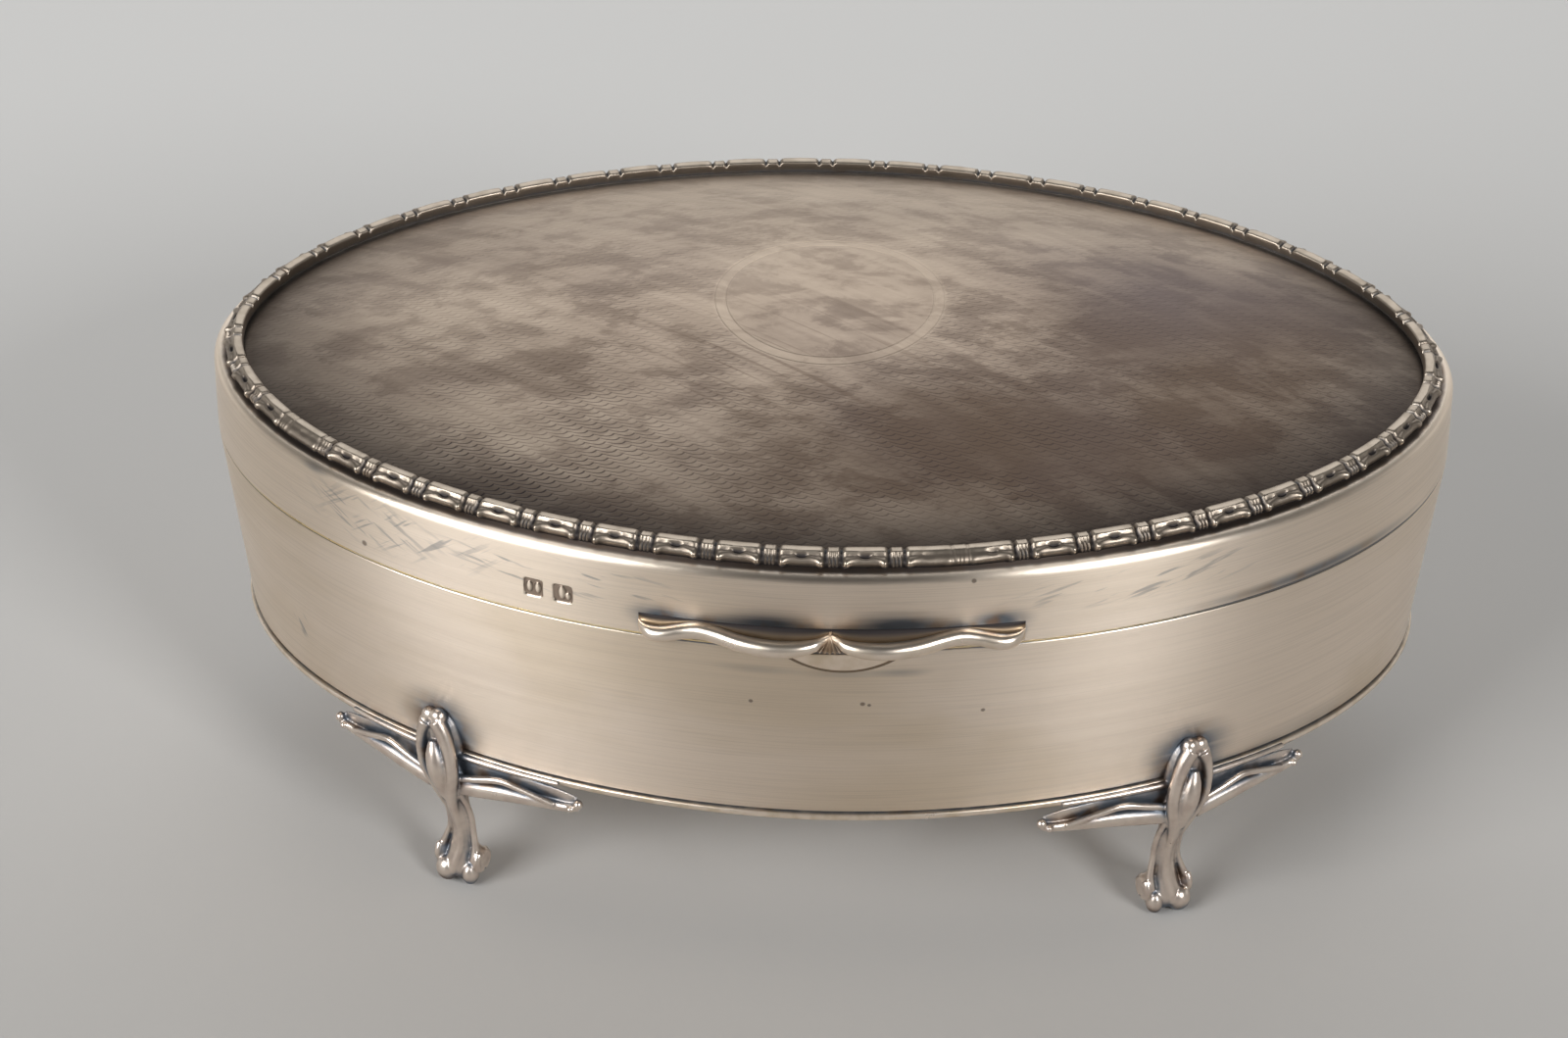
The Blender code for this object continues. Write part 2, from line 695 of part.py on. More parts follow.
def build_border(parts, silver, hinge):
    # Long barrels and short reels, one closed strip lying on the flange and the top's edge.
    run, angles = measured_oval(BORDER_INSET)
    pitch = run[-1] / BORDER_REPEATS
    reel_half = (1 - BARREL_SHARE) / 2
    height = SHOULDER_Z + GAP + dome_rise_at_border()
    points, radii = [], []
    for repeat in range(BORDER_REPEATS):
        for place, scale in (
            (reel_half * 0.75, REEL_SCALE),
            (reel_half * 1.2, 1.0),
            (1 - reel_half * 1.2, 1.0),
            (1 - reel_half * 0.75, REEL_SCALE),
        ):
            along = BORDER_START + (repeat + place) * pitch
            angle = np.interp(along % run[-1], run, angles)
            flat = oval_point(angle, BORDER_INSET)
            points.append((flat.x, flat.y, height))
            radii.append(scale)
    section = [
        (-BORDER_HALF, 0.0),
        (-BORDER_HALF, 0.55 * BORDER_HEIGHT),
        (-0.45 * BORDER_HALF, BORDER_HEIGHT),
        (0.45 * BORDER_HALF, BORDER_HEIGHT),
        (BORDER_HALF, 0.55 * BORDER_HEIGHT),
        (BORDER_HALF, 0.0),
    ]
    profile = curve_object("border_section", [(x, y, 0.0) for x, y in section], parts, cyclic=True)
    path = curve_object("border_path", points, parts, radii, cyclic=True)
    path.data.bevel_mode = "OBJECT"
    path.data.bevel_object = profile
    path.data.twist_mode = "Z_UP"
    mesh = mesh_from(path)
    bpy.data.objects.remove(profile, do_unlink=True)
    shade(mesh)
    add_object("lid_border", mesh, silver, parts, hinge)


def dome_rise_at_border():
    # The strip's inner edge lies over the rising sheet, so the strip is lifted to clear it.
    over = BORDER_INSET + BORDER_HALF - FLANGE_INSET - GAP
    share = 1 - over / (HALF_WIDTH - FLANGE_INSET - GAP)
    return (APEX_Z - SHOULDER_Z) * (1 - share**2)


def build_linings(parts, card, velvet, hinge):
    card_low = WALL_Z
    card_high = card_low + CARD_THICK
    inset = wall_inset(card_low) + SHEET + GAP
    base_card = wrapped_oval(
        "base_card",
        [(inset, card_low, 0.0), (inset, card_low), (inset, card_high), (inset, card_high, 0.0)],
        closed=False,
        segments=PAD_SEGMENTS,
    )
    add_object("base_card", base_card, card, parts)

    lining_low = card_high + GAP
    lining_high = BEZEL_LOW - GAP
    low_inset = wall_inset(lining_low) + SHEET + GAP
    high_inset = wall_inset(lining_high) + SHEET + GAP
    round_over = 0.4 * MM
    lining = wrapped_oval(
        "wall_lining",
        [
            (low_inset, lining_low),
            (high_inset, lining_high),
            (high_inset + LINING_THICK - round_over, lining_high),
            (high_inset + LINING_THICK, lining_high - round_over),
            (low_inset + LINING_THICK, lining_low),
        ],
        closed=True,
    )
    add_object("wall_lining", lining, velvet, parts)

    pad_inset = low_inset + LINING_THICK + GAP
    base_pad = padded_oval("base_pad", pad_inset, lining_low, PAD_THICK)
    add_object("base_pad", base_pad, velvet, parts)

    lid_card_high = SHOULDER_Z - SHEET - GAP
    lid_card_low = lid_card_high - CARD_THICK
    lid_inset = FLANGE_INSET + 0.4 * MM
    lid_card = wrapped_oval(
        "lid_card",
        [
            (lid_inset, lid_card_low, 0.0),
            (lid_inset, lid_card_low),
            (lid_inset, lid_card_high),
            (lid_inset, lid_card_high, 0.0),
        ],
        closed=False,
        segments=PAD_SEGMENTS,
    )
    add_object("lid_card", lid_card, card, parts, hinge)
    lid_pad = padded_oval("lid_pad", lid_inset, lid_card_low - GAP, -LID_PAD_THICK)
    add_object("lid_pad", lid_pad, velvet, parts, hinge)


def padded_oval(name, inset, back_z, thick):
    # A stuffed pad with a flat back, drawn-in sides and a crown that rises to its middle.
    profile = [
        (inset + 0.5 * MM, back_z, 0.0),
        (inset + 0.5 * MM, back_z),
        (inset, back_z + 0.25 * thick),
        (inset + 0.35 * MM, back_z + 0.52 * thick),
        (inset + 1.3 * MM, back_z + 0.72 * thick),
        (inset, back_z + 0.84 * thick, 0.88),
        (inset, back_z + 0.94 * thick, 0.6),
        (inset, back_z + 0.99 * thick, 0.3),
        (inset, back_z + thick, 0.0),
    ]
    return wrapped_oval(name, profile, closed=False, segments=PAD_SEGMENTS)


def main():
    clear_scene()
    parts = make_collection("oval_silver_box")
    cutters = make_collection("cutters")
    body_silver = make_material("body_silver", (0.72, 0.66, 0.58), 0.32, 1.0)
    cast_silver = make_material("cast_silver", (0.74, 0.67, 0.6), 0.22, 1.0)
    lid_silver = make_material("lid_silver", (0.5, 0.45, 0.41), 0.34, 1.0)
    gilt = make_material("gilt_rim", (0.83, 0.68, 0.42), 0.25, 1.0)
    steel = make_material("pin_wire", (0.6, 0.6, 0.6), 0.3, 1.0)
    card = make_material("card_board", (0.55, 0.47, 0.36), 0.9, 0.0)
    velvet = make_material("velvet", (0.11, 0.03, 0.12), 0.95, 0.0)

    hinge = bpy.data.objects.new("lid_hinge_axis", None)
    hinge.location = (0.0, AXIS_Y, JOINT_Z)
    parts.objects.link(hinge)

    build_body(parts, body_silver, gilt)
    build_segment_plate(parts, body_silver)
    build_feet(parts, cutters, cast_silver)
    build_lid(parts, lid_silver, hinge)
    build_border(parts, cast_silver, hinge)
    build_thumbpiece(parts, cast_silver, hinge)
    build_hinge(parts, cutters, body_silver, steel, hinge)
    build_linings(parts, card, velvet, hinge)


main()
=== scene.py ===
import json
import math

import bmesh
import bpy
import numpy as np
from mathutils import Matrix, Vector


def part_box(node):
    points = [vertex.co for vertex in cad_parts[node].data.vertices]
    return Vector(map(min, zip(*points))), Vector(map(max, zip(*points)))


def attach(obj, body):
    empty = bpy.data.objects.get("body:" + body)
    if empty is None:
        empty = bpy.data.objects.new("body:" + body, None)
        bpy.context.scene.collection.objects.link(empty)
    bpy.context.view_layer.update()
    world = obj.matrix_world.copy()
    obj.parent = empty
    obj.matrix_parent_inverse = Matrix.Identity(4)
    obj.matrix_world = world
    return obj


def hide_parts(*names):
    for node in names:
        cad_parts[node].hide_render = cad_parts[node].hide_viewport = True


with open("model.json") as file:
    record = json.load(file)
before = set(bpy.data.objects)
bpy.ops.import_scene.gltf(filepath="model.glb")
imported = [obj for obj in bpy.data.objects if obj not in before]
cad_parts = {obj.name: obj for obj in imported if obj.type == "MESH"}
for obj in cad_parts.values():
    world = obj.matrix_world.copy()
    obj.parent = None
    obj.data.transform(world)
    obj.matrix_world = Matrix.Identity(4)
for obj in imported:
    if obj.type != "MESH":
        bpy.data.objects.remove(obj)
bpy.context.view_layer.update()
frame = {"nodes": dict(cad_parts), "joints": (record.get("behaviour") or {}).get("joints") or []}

# Looks of the oval silver box: every piece but the two cards is built again here with a finer
# mesh, in the same place as its solid, and gets its finish. Metres; +Z up; the front faces -Y.

mm = 0.001
gap = 0.3 * mm  # what the solids leave between soldered pieces
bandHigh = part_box("lid_band")[1]
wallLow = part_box("body_wall")[0]
plateLow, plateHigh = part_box("base_plate")
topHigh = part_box("lid_top")[1]
bezelLow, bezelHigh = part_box("rim_bezel")
thumbLow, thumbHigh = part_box("thumbpiece")
padLow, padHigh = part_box("base_pad")
liningLow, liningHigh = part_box("wall_lining")
lidPadLow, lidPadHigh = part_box("lid_pad")
hingeY, hingeZ = frame["joints"][0]["pos_m"][1:]

halfLength, halfWidth = bandHigh.x, bandHigh.y
fullness = 1.9  # exponent of the oval, where 2 is an ellipse
sheet = 0.9 * mm
taper = 2.1 * mm  # how far the wall leans in by its foot
lidInner = 3.0 * mm  # inner edge of the lid's flange
ringCount = 360  # points round the oval
plateProud = 0.5 * mm  # how far the base plate's edge stands out past the wall
grime = "grime"  # what a piece's own points say of the tarnish and painted shade that lie in them, from 0 to 1


# Shader nodes

def operator(operation):
    # an operator and its reflected form
    def forward(self, other):
        return self.math(operation, self, other)

    def reflected(self, other):
        return self.math(operation, other, self)

    return forward, reflected


class Socket:
    # an output socket: arithmetic on values adds Math nodes beside it
    __add__, __radd__ = operator("ADD")
    __sub__, __rsub__ = operator("SUBTRACT")
    __mul__, __rmul__ = operator("MULTIPLY")
    __truediv__, __rtruediv__ = operator("DIVIDE")
    __pow__, __rpow__ = operator("POWER")

    def __init__(self, finish, link):
        self.finish = finish
        self.link = link

    def math(self, operation, *terms):
        return self.finish.node("ShaderNodeMath", {"operation": operation}, dict(enumerate(terms)))

    def __abs__(self):
        return self.math("ABSOLUTE", self)

    def sine(self):
        return self.math("SINE", self)

    def fraction(self):
        return self.math("FRACT", self)


class Nodes:
    # a node tree, and the point that it shades as x, y and z
    def __init__(self, tree, coordinates):
        self.tree = tree
        self.point = self.node("ShaderNodeTexCoord", {}, {}, coordinates)
        split = {0: self.point}
        self.x, self.y, self.z = (self.node("ShaderNodeSeparateXYZ", {}, split, axis) for axis in "XYZ")

    def node(self, kind, settings, sockets, output=0):
        made = self.tree.nodes.new(kind)
        for name, value in settings.items():
            if name == "stops":
                self.setStops(made.color_ramp, value)
            else:
                setattr(made, name, value)
        for name, value in sockets.items():
            self.feed(made.inputs[name], value)
        return Socket(self, made.outputs[output])

    def setStops(self, ramp, stops):
        while len(ramp.elements) < len(stops):
            ramp.elements.new(1.0)
        for element, (place, colour) in zip(ramp.elements, stops):
            element.position = place
            element.color = (*colour, 1.0)

    def feed(self, socket, value):
        if isinstance(value, Socket):
            self.tree.links.new(value.link, socket)
        elif socket.type == "RGBA":
            socket.default_value = (*value, 1.0)
        else:
            socket.default_value = value

    def vector(self, operation, *terms, output=0):
        return self.node("ShaderNodeVectorMath", {"operation": operation}, dict(enumerate(terms)), output)

    def stretched(self, x, y, z):
        # the object's own coordinates, each multiplied: features per metre
        return self.vector("MULTIPLY", self.point, (x, y, z))

    def turned(self, axis, degrees):
        # the object's own coordinates, turned about one of its axes
        sockets = {"Vector": self.point, "Angle": math.radians(degrees)}
        return self.node("ShaderNodeVectorRotate", {"rotation_type": axis + "_AXIS"}, sockets)

    def laid(self):
        # the tarnish and painted shade that a piece's own points hold
        return self.node("ShaderNodeAttribute", {"attribute_name": grime}, {}, "Fac")

    def noise(self, vector, detail=3.0, roughness=0.5, distortion=0.0):
        sockets = {"Vector": vector, "Scale": 1.0, "Detail": detail, "Roughness": roughness}
        sockets["Distortion"] = distortion
        return self.node("ShaderNodeTexNoise", {}, sockets, "Fac")

    def ramp(self, value, low, high, start=0.0, end=1.0):
        settings = {"interpolation_type": "SMOOTHSTEP", "clamp": True}
        sockets = {"Value": value, "From Min": low, "From Max": high, "To Min": start, "To Max": end}
        return self.node("ShaderNodeMapRange", settings, sockets, "Result")

    def mix(self, share, first, second):
        return self.node("ShaderNodeMix", {"data_type": "RGBA"}, {0: share, 6: first, 7: second}, 2)

    def spot(self, centre, size, soft=1.0):
        # a soft ellipsoid mask: 1 at its centre, 0 outside
        away = self.vector("DIVIDE", self.vector("SUBTRACT", self.point, centre), size)
        return self.ramp(self.vector("LENGTH", away, output="Value"), 1.0, 1.0 - soft)

    def crevice(self, distance, low=0.45, high=0.95):
        # painted shade and tarnish: 1 in corners and hollows, 0 on open surface
        settings = {"samples": 12, "only_local": False}
        openness = self.node("ShaderNodeAmbientOcclusion", settings, {"Distance": distance}, "AO")
        return self.ramp(openness, high, low)

    def bump(self, height, distance, strength=1.0):
        return self.node("ShaderNodeBump", {}, {"Height": height, "Distance": distance, "Strength": strength})


class Finish(Nodes):
    # one material of the box, with its Principled shader
    def __init__(self, name):
        self.material = bpy.data.materials.new(name)
        self.material.use_nodes = True
        super().__init__(self.material.node_tree, "Object")
        self.shader = self.tree.nodes["Principled BSDF"]

    def shade(self, **sockets):
        for name, value in sockets.items():
            self.feed(self.shader.inputs[name.replace("_", " ")], value)


silver = {
    "metal": (0.93, 0.795, 0.665),
    "film": (0.78, 0.645, 0.49),  # thin yellowish tarnish
    "brown": (0.17, 0.12, 0.09),
    "blue": (0.16, 0.18, 0.21),
    # near black for the heaviest painted shadow and soot
    "soot": (0.035, 0.03, 0.03),
}


def inMetres(millimetres):
    return [v * mm for v in millimetres]


def darkenedByTarnishAndShade(finish, colour, share):
    # brown and steel blue tarnish laid over a colour by a mask; with a mask of corners it also lays painted
    # shade
    patch = finish.noise(finish.stretched(300, 300, 300), detail=2)
    dark = finish.mix(finish.ramp(patch, 0.32, 0.52), silver["brown"], silver["blue"])
    return finish.mix(share, colour, dark)


def satinFinish(name, look):
    # brushed satin silver of the wall and the lid band: the grain runs round the box
    finish = Finish(name)
    grain = finish.noise(finish.stretched(60, 60, 5200), detail=3, roughness=0.6)
    streak = finish.noise(finish.stretched(9, 9, 900), detail=3)
    cloud = finish.noise(finish.stretched(24, 24, 42), detail=3, distortion=0.6)
    colour = finish.mix(finish.ramp(cloud, 0.4, 0.68, 0.0, look["film"]), silver["metal"], silver["film"])
    colour = finish.mix(finish.ramp(grain, 0.4, 0.75, 0.0, look["grain"]), colour, silver["brown"])
    broken = finish.ramp(streak, 0.3, 0.6, 0.7, 1.0)
    for centre, size, depth in look["stains"]:
        mask = finish.spot(inMetres(centre), inMetres(size)) * broken * depth
        colour = darkenedByTarnishAndShade(finish, colour, mask)
    for centre, radius in look["specks"]:
        mask = finish.spot(inMetres(centre), inMetres([radius] * 3), 0.5)
        colour = finish.mix(mask * 0.75, colour, silver["brown"])
    for turn, centre, size, share in look["scratches"]:
        # short fine scratches, slanted in the band by so many degrees
        drawn = finish.vector("MULTIPLY", finish.turned("Y", turn), (160, 90, 1500))
        line = finish.ramp(finish.noise(drawn, detail=2), 0.57, 0.66)
        where = finish.spot(inMetres(centre), inMetres(size), 0.7)
        colour = finish.mix(line * where * share, colour, silver["blue"])
    # painted shade and tarnish in corners, from occlusion
    corner = finish.crevice(look["crevice"] * mm)
    colour = darkenedByTarnishAndShade(finish, colour, corner * finish.ramp(streak, 0.25, 0.6, 0.6, 0.95))
    # painted shade and tarnish laid in the band's flange, and tarnish in its punch marks
    laid = finish.laid()
    colour = finish.mix(finish.ramp(laid, 0.1, 0.9, 0.0, 0.85), colour, silver["brown"])
    finish.shade(
        Base_Color=colour,
        Metallic=1.0,
        Roughness=look["roughness"] + 0.05 * (streak - 0.5) + 0.08 * (grain - 0.5) + 0.15 * corner,
        Anisotropic=look["anisotropic"],
        Anisotropic_Rotation=0.25,
        Normal=finish.bump(grain * 0.6 + streak * 0.15 + cloud, 0.02 * mm, 0.25),
    )
    return finish


def castFinish(name, look):
    # cast and polished silver with tarnish and painted shade left in its hollows
    finish = Finish(name)
    wear = finish.noise(finish.stretched(420, 420, 420), detail=3)
    fine = finish.noise(finish.stretched(2600, 2600, 2600), detail=2)
    colour = finish.mix(finish.ramp(wear, 0.4, 0.7), look["metal"], look["film"])
    # painted shade and tarnish in corners and hollows, from occlusion
    corner = finish.crevice(look["crevice"] * mm, look["low"], look["high"])
    dirt = corner * finish.ramp(wear, 0.2, 0.6, 0.6, 1.0) * look["dirt"]
    laid = finish.laid()
    colour = finish.mix(finish.ramp(laid, 0.0, 0.5), colour, look["laid"])
    colour = darkenedByTarnishAndShade(finish, colour, dirt)
    # near black where the painted shade and tarnish laid in the points are heaviest
    colour = finish.mix(finish.ramp(laid, 0.4, 1.0), colour, silver["soot"])
    finish.shade(
        Base_Color=colour,
        Metallic=1.0,
        Roughness=look["roughness"] + 0.12 * (wear - 0.5) + 0.25 * corner + 0.2 * laid,
        Normal=finish.bump(wear + fine * 0.3, 0.05 * mm, 0.35),
    )
    return finish


wallLook = {
    "roughness": 0.35,
    "anisotropic": 0.88,
    "grain": 0.12,
    "film": 0.7,
    "crevice": 3.2,
    # centre, half sizes, depth of tarnish, in millimetres; the three just under the rim plate are its painted
    # shadow over tarnish
    "stains": [
        ((-6, -48, 45.6), (7, 3, 1.0), 0.35), ((11, -48, 45.6), (5, 3, 1.0), 0.5),
        ((4.1, -48.2, 45.5), (7.5, 3, 1.1), 0.35), ((66, -30, 23.0), (14, 14, 3.0), 0.35),
    ],
    "specks": [
        ((-6.9, -48.1, 40.3), 0.35), ((6.6, -48.1, 40.5), 0.4), ((7.4, -48.1, 40.3), 0.3),
        ((21.1, -46.1, 38.7), 0.35), ((-64.5, -28, 37.5), 0.5),
    ],
    # slant in degrees, centre, half sizes, share
    "scratches": [(-65, (-66.8, -24, 31), (1.6, 4, 3.4), 0.8)],
}
bandLook = {
    "roughness": 0.34,
    "anisotropic": 0.87,
    "grain": 0.14,
    "film": 0.35,
    "crevice": 2.2,
    "stains": [
        ((-17.0, -47.4, 52.2), (6.5, 3, 2.6), 1.2), ((-4.8, -48.6, 52.4), (8.5, 3, 2.9), 1.2),
        ((10.8, -48.3, 52.6), (9.0, 3, 2.9), 1.2), ((22.4, -46.7, 52.6), (6.0, 3, 2.8), 1.2),
        # the wide one at x 62 is painted shadow of the gap under the lid, along the foot of the band on the
        # right
        ((62, -31, 50.0), (26, 22, 1.3), 0.9), ((-61.9, -29.2, 58.9), (3.2, 3, 0.8), 0.6),
    ],
    "specks": [
        ((29, -46, 55), 0.4), ((19.4, -46.9, 58.7), 0.4), ((-55.3, -34, 51.4), 0.5),
    ],
    "scratches": [
        (38, (-50, -36, 55.5), (20, 14, 5.0), 0.5), (-30, (-54, -33, 55.0), (18, 12, 4.5), 0.42),
        (-9, (-30, -44, 55.5), (26, 10, 3.5), 0.55), (14, (40, -41, 55.5), (24, 14, 3.5), 0.5),
    ],
}
feetLook = {
    "metal": (0.8, 0.69, 0.6),
    "film": (0.68, 0.565, 0.49),
    "laid": (0.3, 0.23, 0.17),  # tarnish and painted shade that lie in the hollows
    "roughness": 0.3, "crevice": 2.8, "low": 0.56, "high": 1.0, "dirt": 1.1,
}
borderLook = {
    "metal": (0.44, 0.37, 0.3),
    "film": (0.35, 0.29, 0.23),
    "laid": (0.25, 0.205, 0.165),
    "roughness": 0.34, "crevice": 0.9, "low": 0.4, "high": 0.95, "dirt": 0.8,
}
thumbLook = {
    "metal": (0.86, 0.74, 0.625),
    "film": (0.79, 0.67, 0.545),
    "laid": (0.36, 0.25, 0.15),
    "roughness": 0.3, "crevice": 1.2, "low": 0.35, "high": 0.8, "dirt": 0.5,
}
hingeLook = {
    "metal": silver["metal"],
    "film": silver["film"],
    "laid": (0.3, 0.22, 0.15),
    "roughness": 0.3, "crevice": 1.0, "low": 0.4, "high": 0.9, "dirt": 0.85,
}


def lidFinish():
    look = {
        "pale": (0.585, 0.475, 0.375),
        "dark": (0.155, 0.108, 0.08),
        "cut": (0.05, 0.038, 0.04),
        "violet": (0.19, 0.155, 0.16),
        "rowPitch": 0.64 * mm,
        "wave": 2.5 * mm,
        "waveRise": 0.62,  # of a row
        "rowSlope": 0.31,  # of a scallop from row to row
        "ringRadius": 15.0 * mm,
        "slant": 33,  # of the wiped strokes, in degrees
        # places on the lid: centre and half sizes, in millimetres
        "rubbed": [((-8.5, 42.2), (9, 3)), ((-50, 0), (24, 14)), ((0, 34), (50, 10)), ((-36, -27), (28, 12))],
        "thick": [
            ((50, -22), (44, 24)), ((18, -26), (34, 16)), ((44, 8), (36, 18)), ((62, 8), (20, 20)),
            ((42, -4), (36, 15)),
        ],
        "scratched": ((-4, -14), (46, 20)),
        "smooth": ((46, 14), (40, 24)),  # more violet than the rest
        "clearest": ((-44, -34), (44, 20)),  # where the engine turning shows best
        # what makes the lid dark: its even share, then places, then patterns
        "even": 0.46,
        "places": {"front": 0.15, "thick": 0.32, "rubbed": -0.18},
        "patterns": {"cloud": 0.45, "blotch": 0.45, "islands": 0.09, "streak": 0.3},
    }
    finish = Finish("engineTurnedSilver")
    x, y = finish.x, finish.y

    def patches(places):
        total = 0.0
        for (across, back), (wide, deep) in places:
            centre, size = (across * mm, back * mm, topHigh.z), (wide * mm, deep * mm, 30 * mm)
            total = total + finish.spot(centre, size)
        return total

    # darker along the front; thick tarnish on the right, wiped thin in slanting strokes; paler at the back
    blotch = finish.noise(finish.stretched(80, 170, 0), detail=7, roughness=0.7, distortion=0.3)
    islands = finish.ramp(blotch, 0.47, 0.56)
    cloud = finish.noise(finish.stretched(17, 24, 0), detail=3, distortion=0.8)
    slanted = finish.turned("Z", look["slant"])
    wiped = finish.vector("MULTIPLY", slanted, (22, 380, 1))
    streak = finish.noise(wiped, detail=4, roughness=0.65)
    drawn = finish.vector("MULTIPLY", slanted, (26, 900, 1))
    scratches = finish.ramp(finish.noise(drawn, detail=2), 0.57, 0.65) * patches([look["scratched"]])
    front = finish.ramp(y, 40 * mm, -44 * mm)
    places = {"front": front, "thick": patches(look["thick"]), "rubbed": patches(look["rubbed"])}
    patterns = {"cloud": cloud, "blotch": blotch, "islands": islands, "streak": streak}
    heavy = look["even"]
    for name, mask in places.items():
        heavy = heavy + look["places"][name] * mask
    for name, pattern in patterns.items():
        heavy = heavy + look["patterns"][name] * (pattern - 0.5)
    lidDarkness = finish.ramp(heavy, 0.0, 1.0)
    # engine turning: scalloped rows along the box, left out of the round cartouche
    away = (x * x + y * y) ** 0.5
    outside = finish.ramp(away, look["ringRadius"] - 0.4 * mm, look["ringRadius"])
    along = x / look["wave"] + y * (look["rowSlope"] / look["rowPitch"])
    scallop = abs((along * math.pi).sine())
    place = (y / look["rowPitch"] + scallop * look["waveRise"]).fraction()
    groove = finish.ramp(abs(place - 0.5), 0.3, 0.5) * outside
    uneven = finish.noise(finish.stretched(90, 160, 0), detail=3)
    clear = 0.2 + 0.4 * front + 0.7 * patches([look["clearest"]])
    lines = groove * finish.ramp(uneven, 0.35, 0.62, 0.35, 1.0) * clear
    ring = finish.ramp(abs(away - look["ringRadius"] + 1.0 * mm), 1.2 * mm, 0.6 * mm)
    colour = finish.mix(lidDarkness, look["pale"], look["dark"])
    violet = finish.ramp(finish.noise(finish.stretched(40, 40, 0), detail=2), 0.42, 0.65)
    violet = 0.14 * violet + 0.5 * patches([look["smooth"]])
    colour = finish.mix(violet * lidDarkness, colour, look["violet"])
    colour = finish.mix(lines * 0.9, colour, look["cut"])
    colour = finish.mix(scratches * 0.5, colour, look["dark"])
    colour = finish.mix(ring * 0.22, colour, look["pale"])
    # painted shadow and tarnish laid along the border
    laid = finish.laid()
    colour = finish.mix(finish.ramp(laid, 0.0, 1.0, 0.0, 0.8), colour, silver["soot"])
    finish.shade(
        Base_Color=colour,
        Metallic=1.0,
        Roughness=0.38 + 0.14 * lidDarkness + 0.08 * (streak - 0.5) + 0.08 * lines,
        Normal=finish.bump(1 - lines, 0.03 * mm, 0.6),
    )
    return finish


def giltFinish():
    finish = Finish("silverGilt")
    wear = finish.noise(finish.stretched(200, 200, 900), detail=3)
    colour = finish.mix(finish.ramp(wear, 0.35, 0.7), (0.86, 0.66, 0.33), (0.8, 0.68, 0.46))
    # painted shadow of the gap under the lid, dark along the right of the joint
    paintedGapShadow = finish.ramp(finish.x, 28 * mm, 52 * mm) * finish.ramp(finish.y, 0.0, -14 * mm)
    colour = finish.mix(paintedGapShadow * 0.9, colour, silver["blue"])
    finish.shade(
        Base_Color=colour,
        Metallic=1.0,
        Roughness=0.2 + 0.2 * wear,
        Normal=finish.bump(wear, 0.03 * mm, 0.3),
    )
    return finish


def wireFinish():
    finish = Finish("pinWire")
    drawn = finish.noise(finish.stretched(60, 4000, 4000), detail=2)
    finish.shade(
        Base_Color=finish.mix(drawn, (0.5, 0.48, 0.46), (0.7, 0.67, 0.62)),
        Metallic=1.0,
        Roughness=0.25 + 0.2 * drawn,
    )
    return finish


def cardFinish():
    finish = Finish("cardBoard")
    fibre = finish.noise(finish.stretched(900, 900, 900), detail=4)
    fleck = finish.noise(finish.stretched(260, 260, 260), detail=1)
    colour = finish.mix(finish.ramp(fibre, 0.3, 0.7), (0.42, 0.34, 0.24), (0.55, 0.46, 0.34))
    finish.shade(
        Base_Color=finish.mix(finish.ramp(fleck, 0.62, 0.7, 0.0, 0.5), colour, (0.2, 0.15, 0.1)),
        Roughness=0.85 + 0.1 * fibre,
        Normal=finish.bump(fibre, 0.05 * mm, 0.5),
    )
    return finish


def velvetFinish():
    finish = Finish("velvet")
    pile = finish.noise(finish.stretched(2400, 2400, 2400), detail=2)
    crush = finish.noise(finish.stretched(45, 45, 45), detail=3, distortion=0.3)
    nap = finish.ramp(crush, 0.3, 0.75)
    colour = finish.mix(nap, (0.05, 0.016, 0.055), (0.085, 0.03, 0.09))
    colour = finish.mix(finish.ramp(pile, 0.4, 0.7, 0.0, 0.5), colour, (0.02, 0.006, 0.024))
    finish.shade(
        Base_Color=colour,
        Roughness=0.8 + 0.15 * pile,
        Sheen_Weight=0.45,
        Sheen_Roughness=0.4,
        Sheen_Tint=(0.55, 0.4, 0.58),
        Normal=finish.bump(pile * 0.6 + crush * 1.5, 0.25 * mm, 0.6),
    )
    return finish


# The oval and meshes wrapped round it

def signedPower(value, power):
    return math.copysign(abs(value) ** power, value)


def ovalNormal(angle):
    x = signedPower(math.cos(angle), 2 / fullness)
    y = signedPower(math.sin(angle), 2 / fullness)
    slope = Vector((signedPower(x, fullness - 1) / halfLength, signedPower(y, fullness - 1) / halfWidth))
    return slope.normalized()


def ovalPoint(angle, inset=0.0):
    x = halfLength * signedPower(math.cos(angle), 2 / fullness)
    y = halfWidth * signedPower(math.sin(angle), 2 / fullness)
    return Vector((x, y)) - ovalNormal(angle) * inset


def wallInset(z):
    # the wall leans in evenly from the joint down to the base plate
    return taper * (hingeZ - z) / (hingeZ - plateLow.z)


plateEdge = wallInset(plateLow.z) - plateProud  # inset of the base plate's edge


def ovalRun(inset, steps=4096):
    # lengths run along the oval, with the angle at each: (lengths, angles)
    angles = np.linspace(0, math.tau, steps + 1)
    points = np.array([ovalPoint(a, inset) for a in angles])
    run = np.concatenate(([0.0], np.cumsum(np.linalg.norm(np.diff(points, axis=0), axis=1))))
    return run, angles


def evenAngles(count):
    run, angles = ovalRun(0.0)
    return np.interp(np.arange(count) / count * run[-1], run, angles)


ringAngles = evenAngles(ringCount)


def placed(name, data):
    made = bpy.data.objects.new(name, data)
    bpy.context.scene.collection.objects.link(made)
    return made


def merged(bm):
    # points that meet become one, and the faces turn the same way out
    bmesh.ops.remove_doubles(bm, verts=bm.verts, dist=0.0005 * mm)
    bmesh.ops.recalc_face_normals(bm, faces=bm.faces)


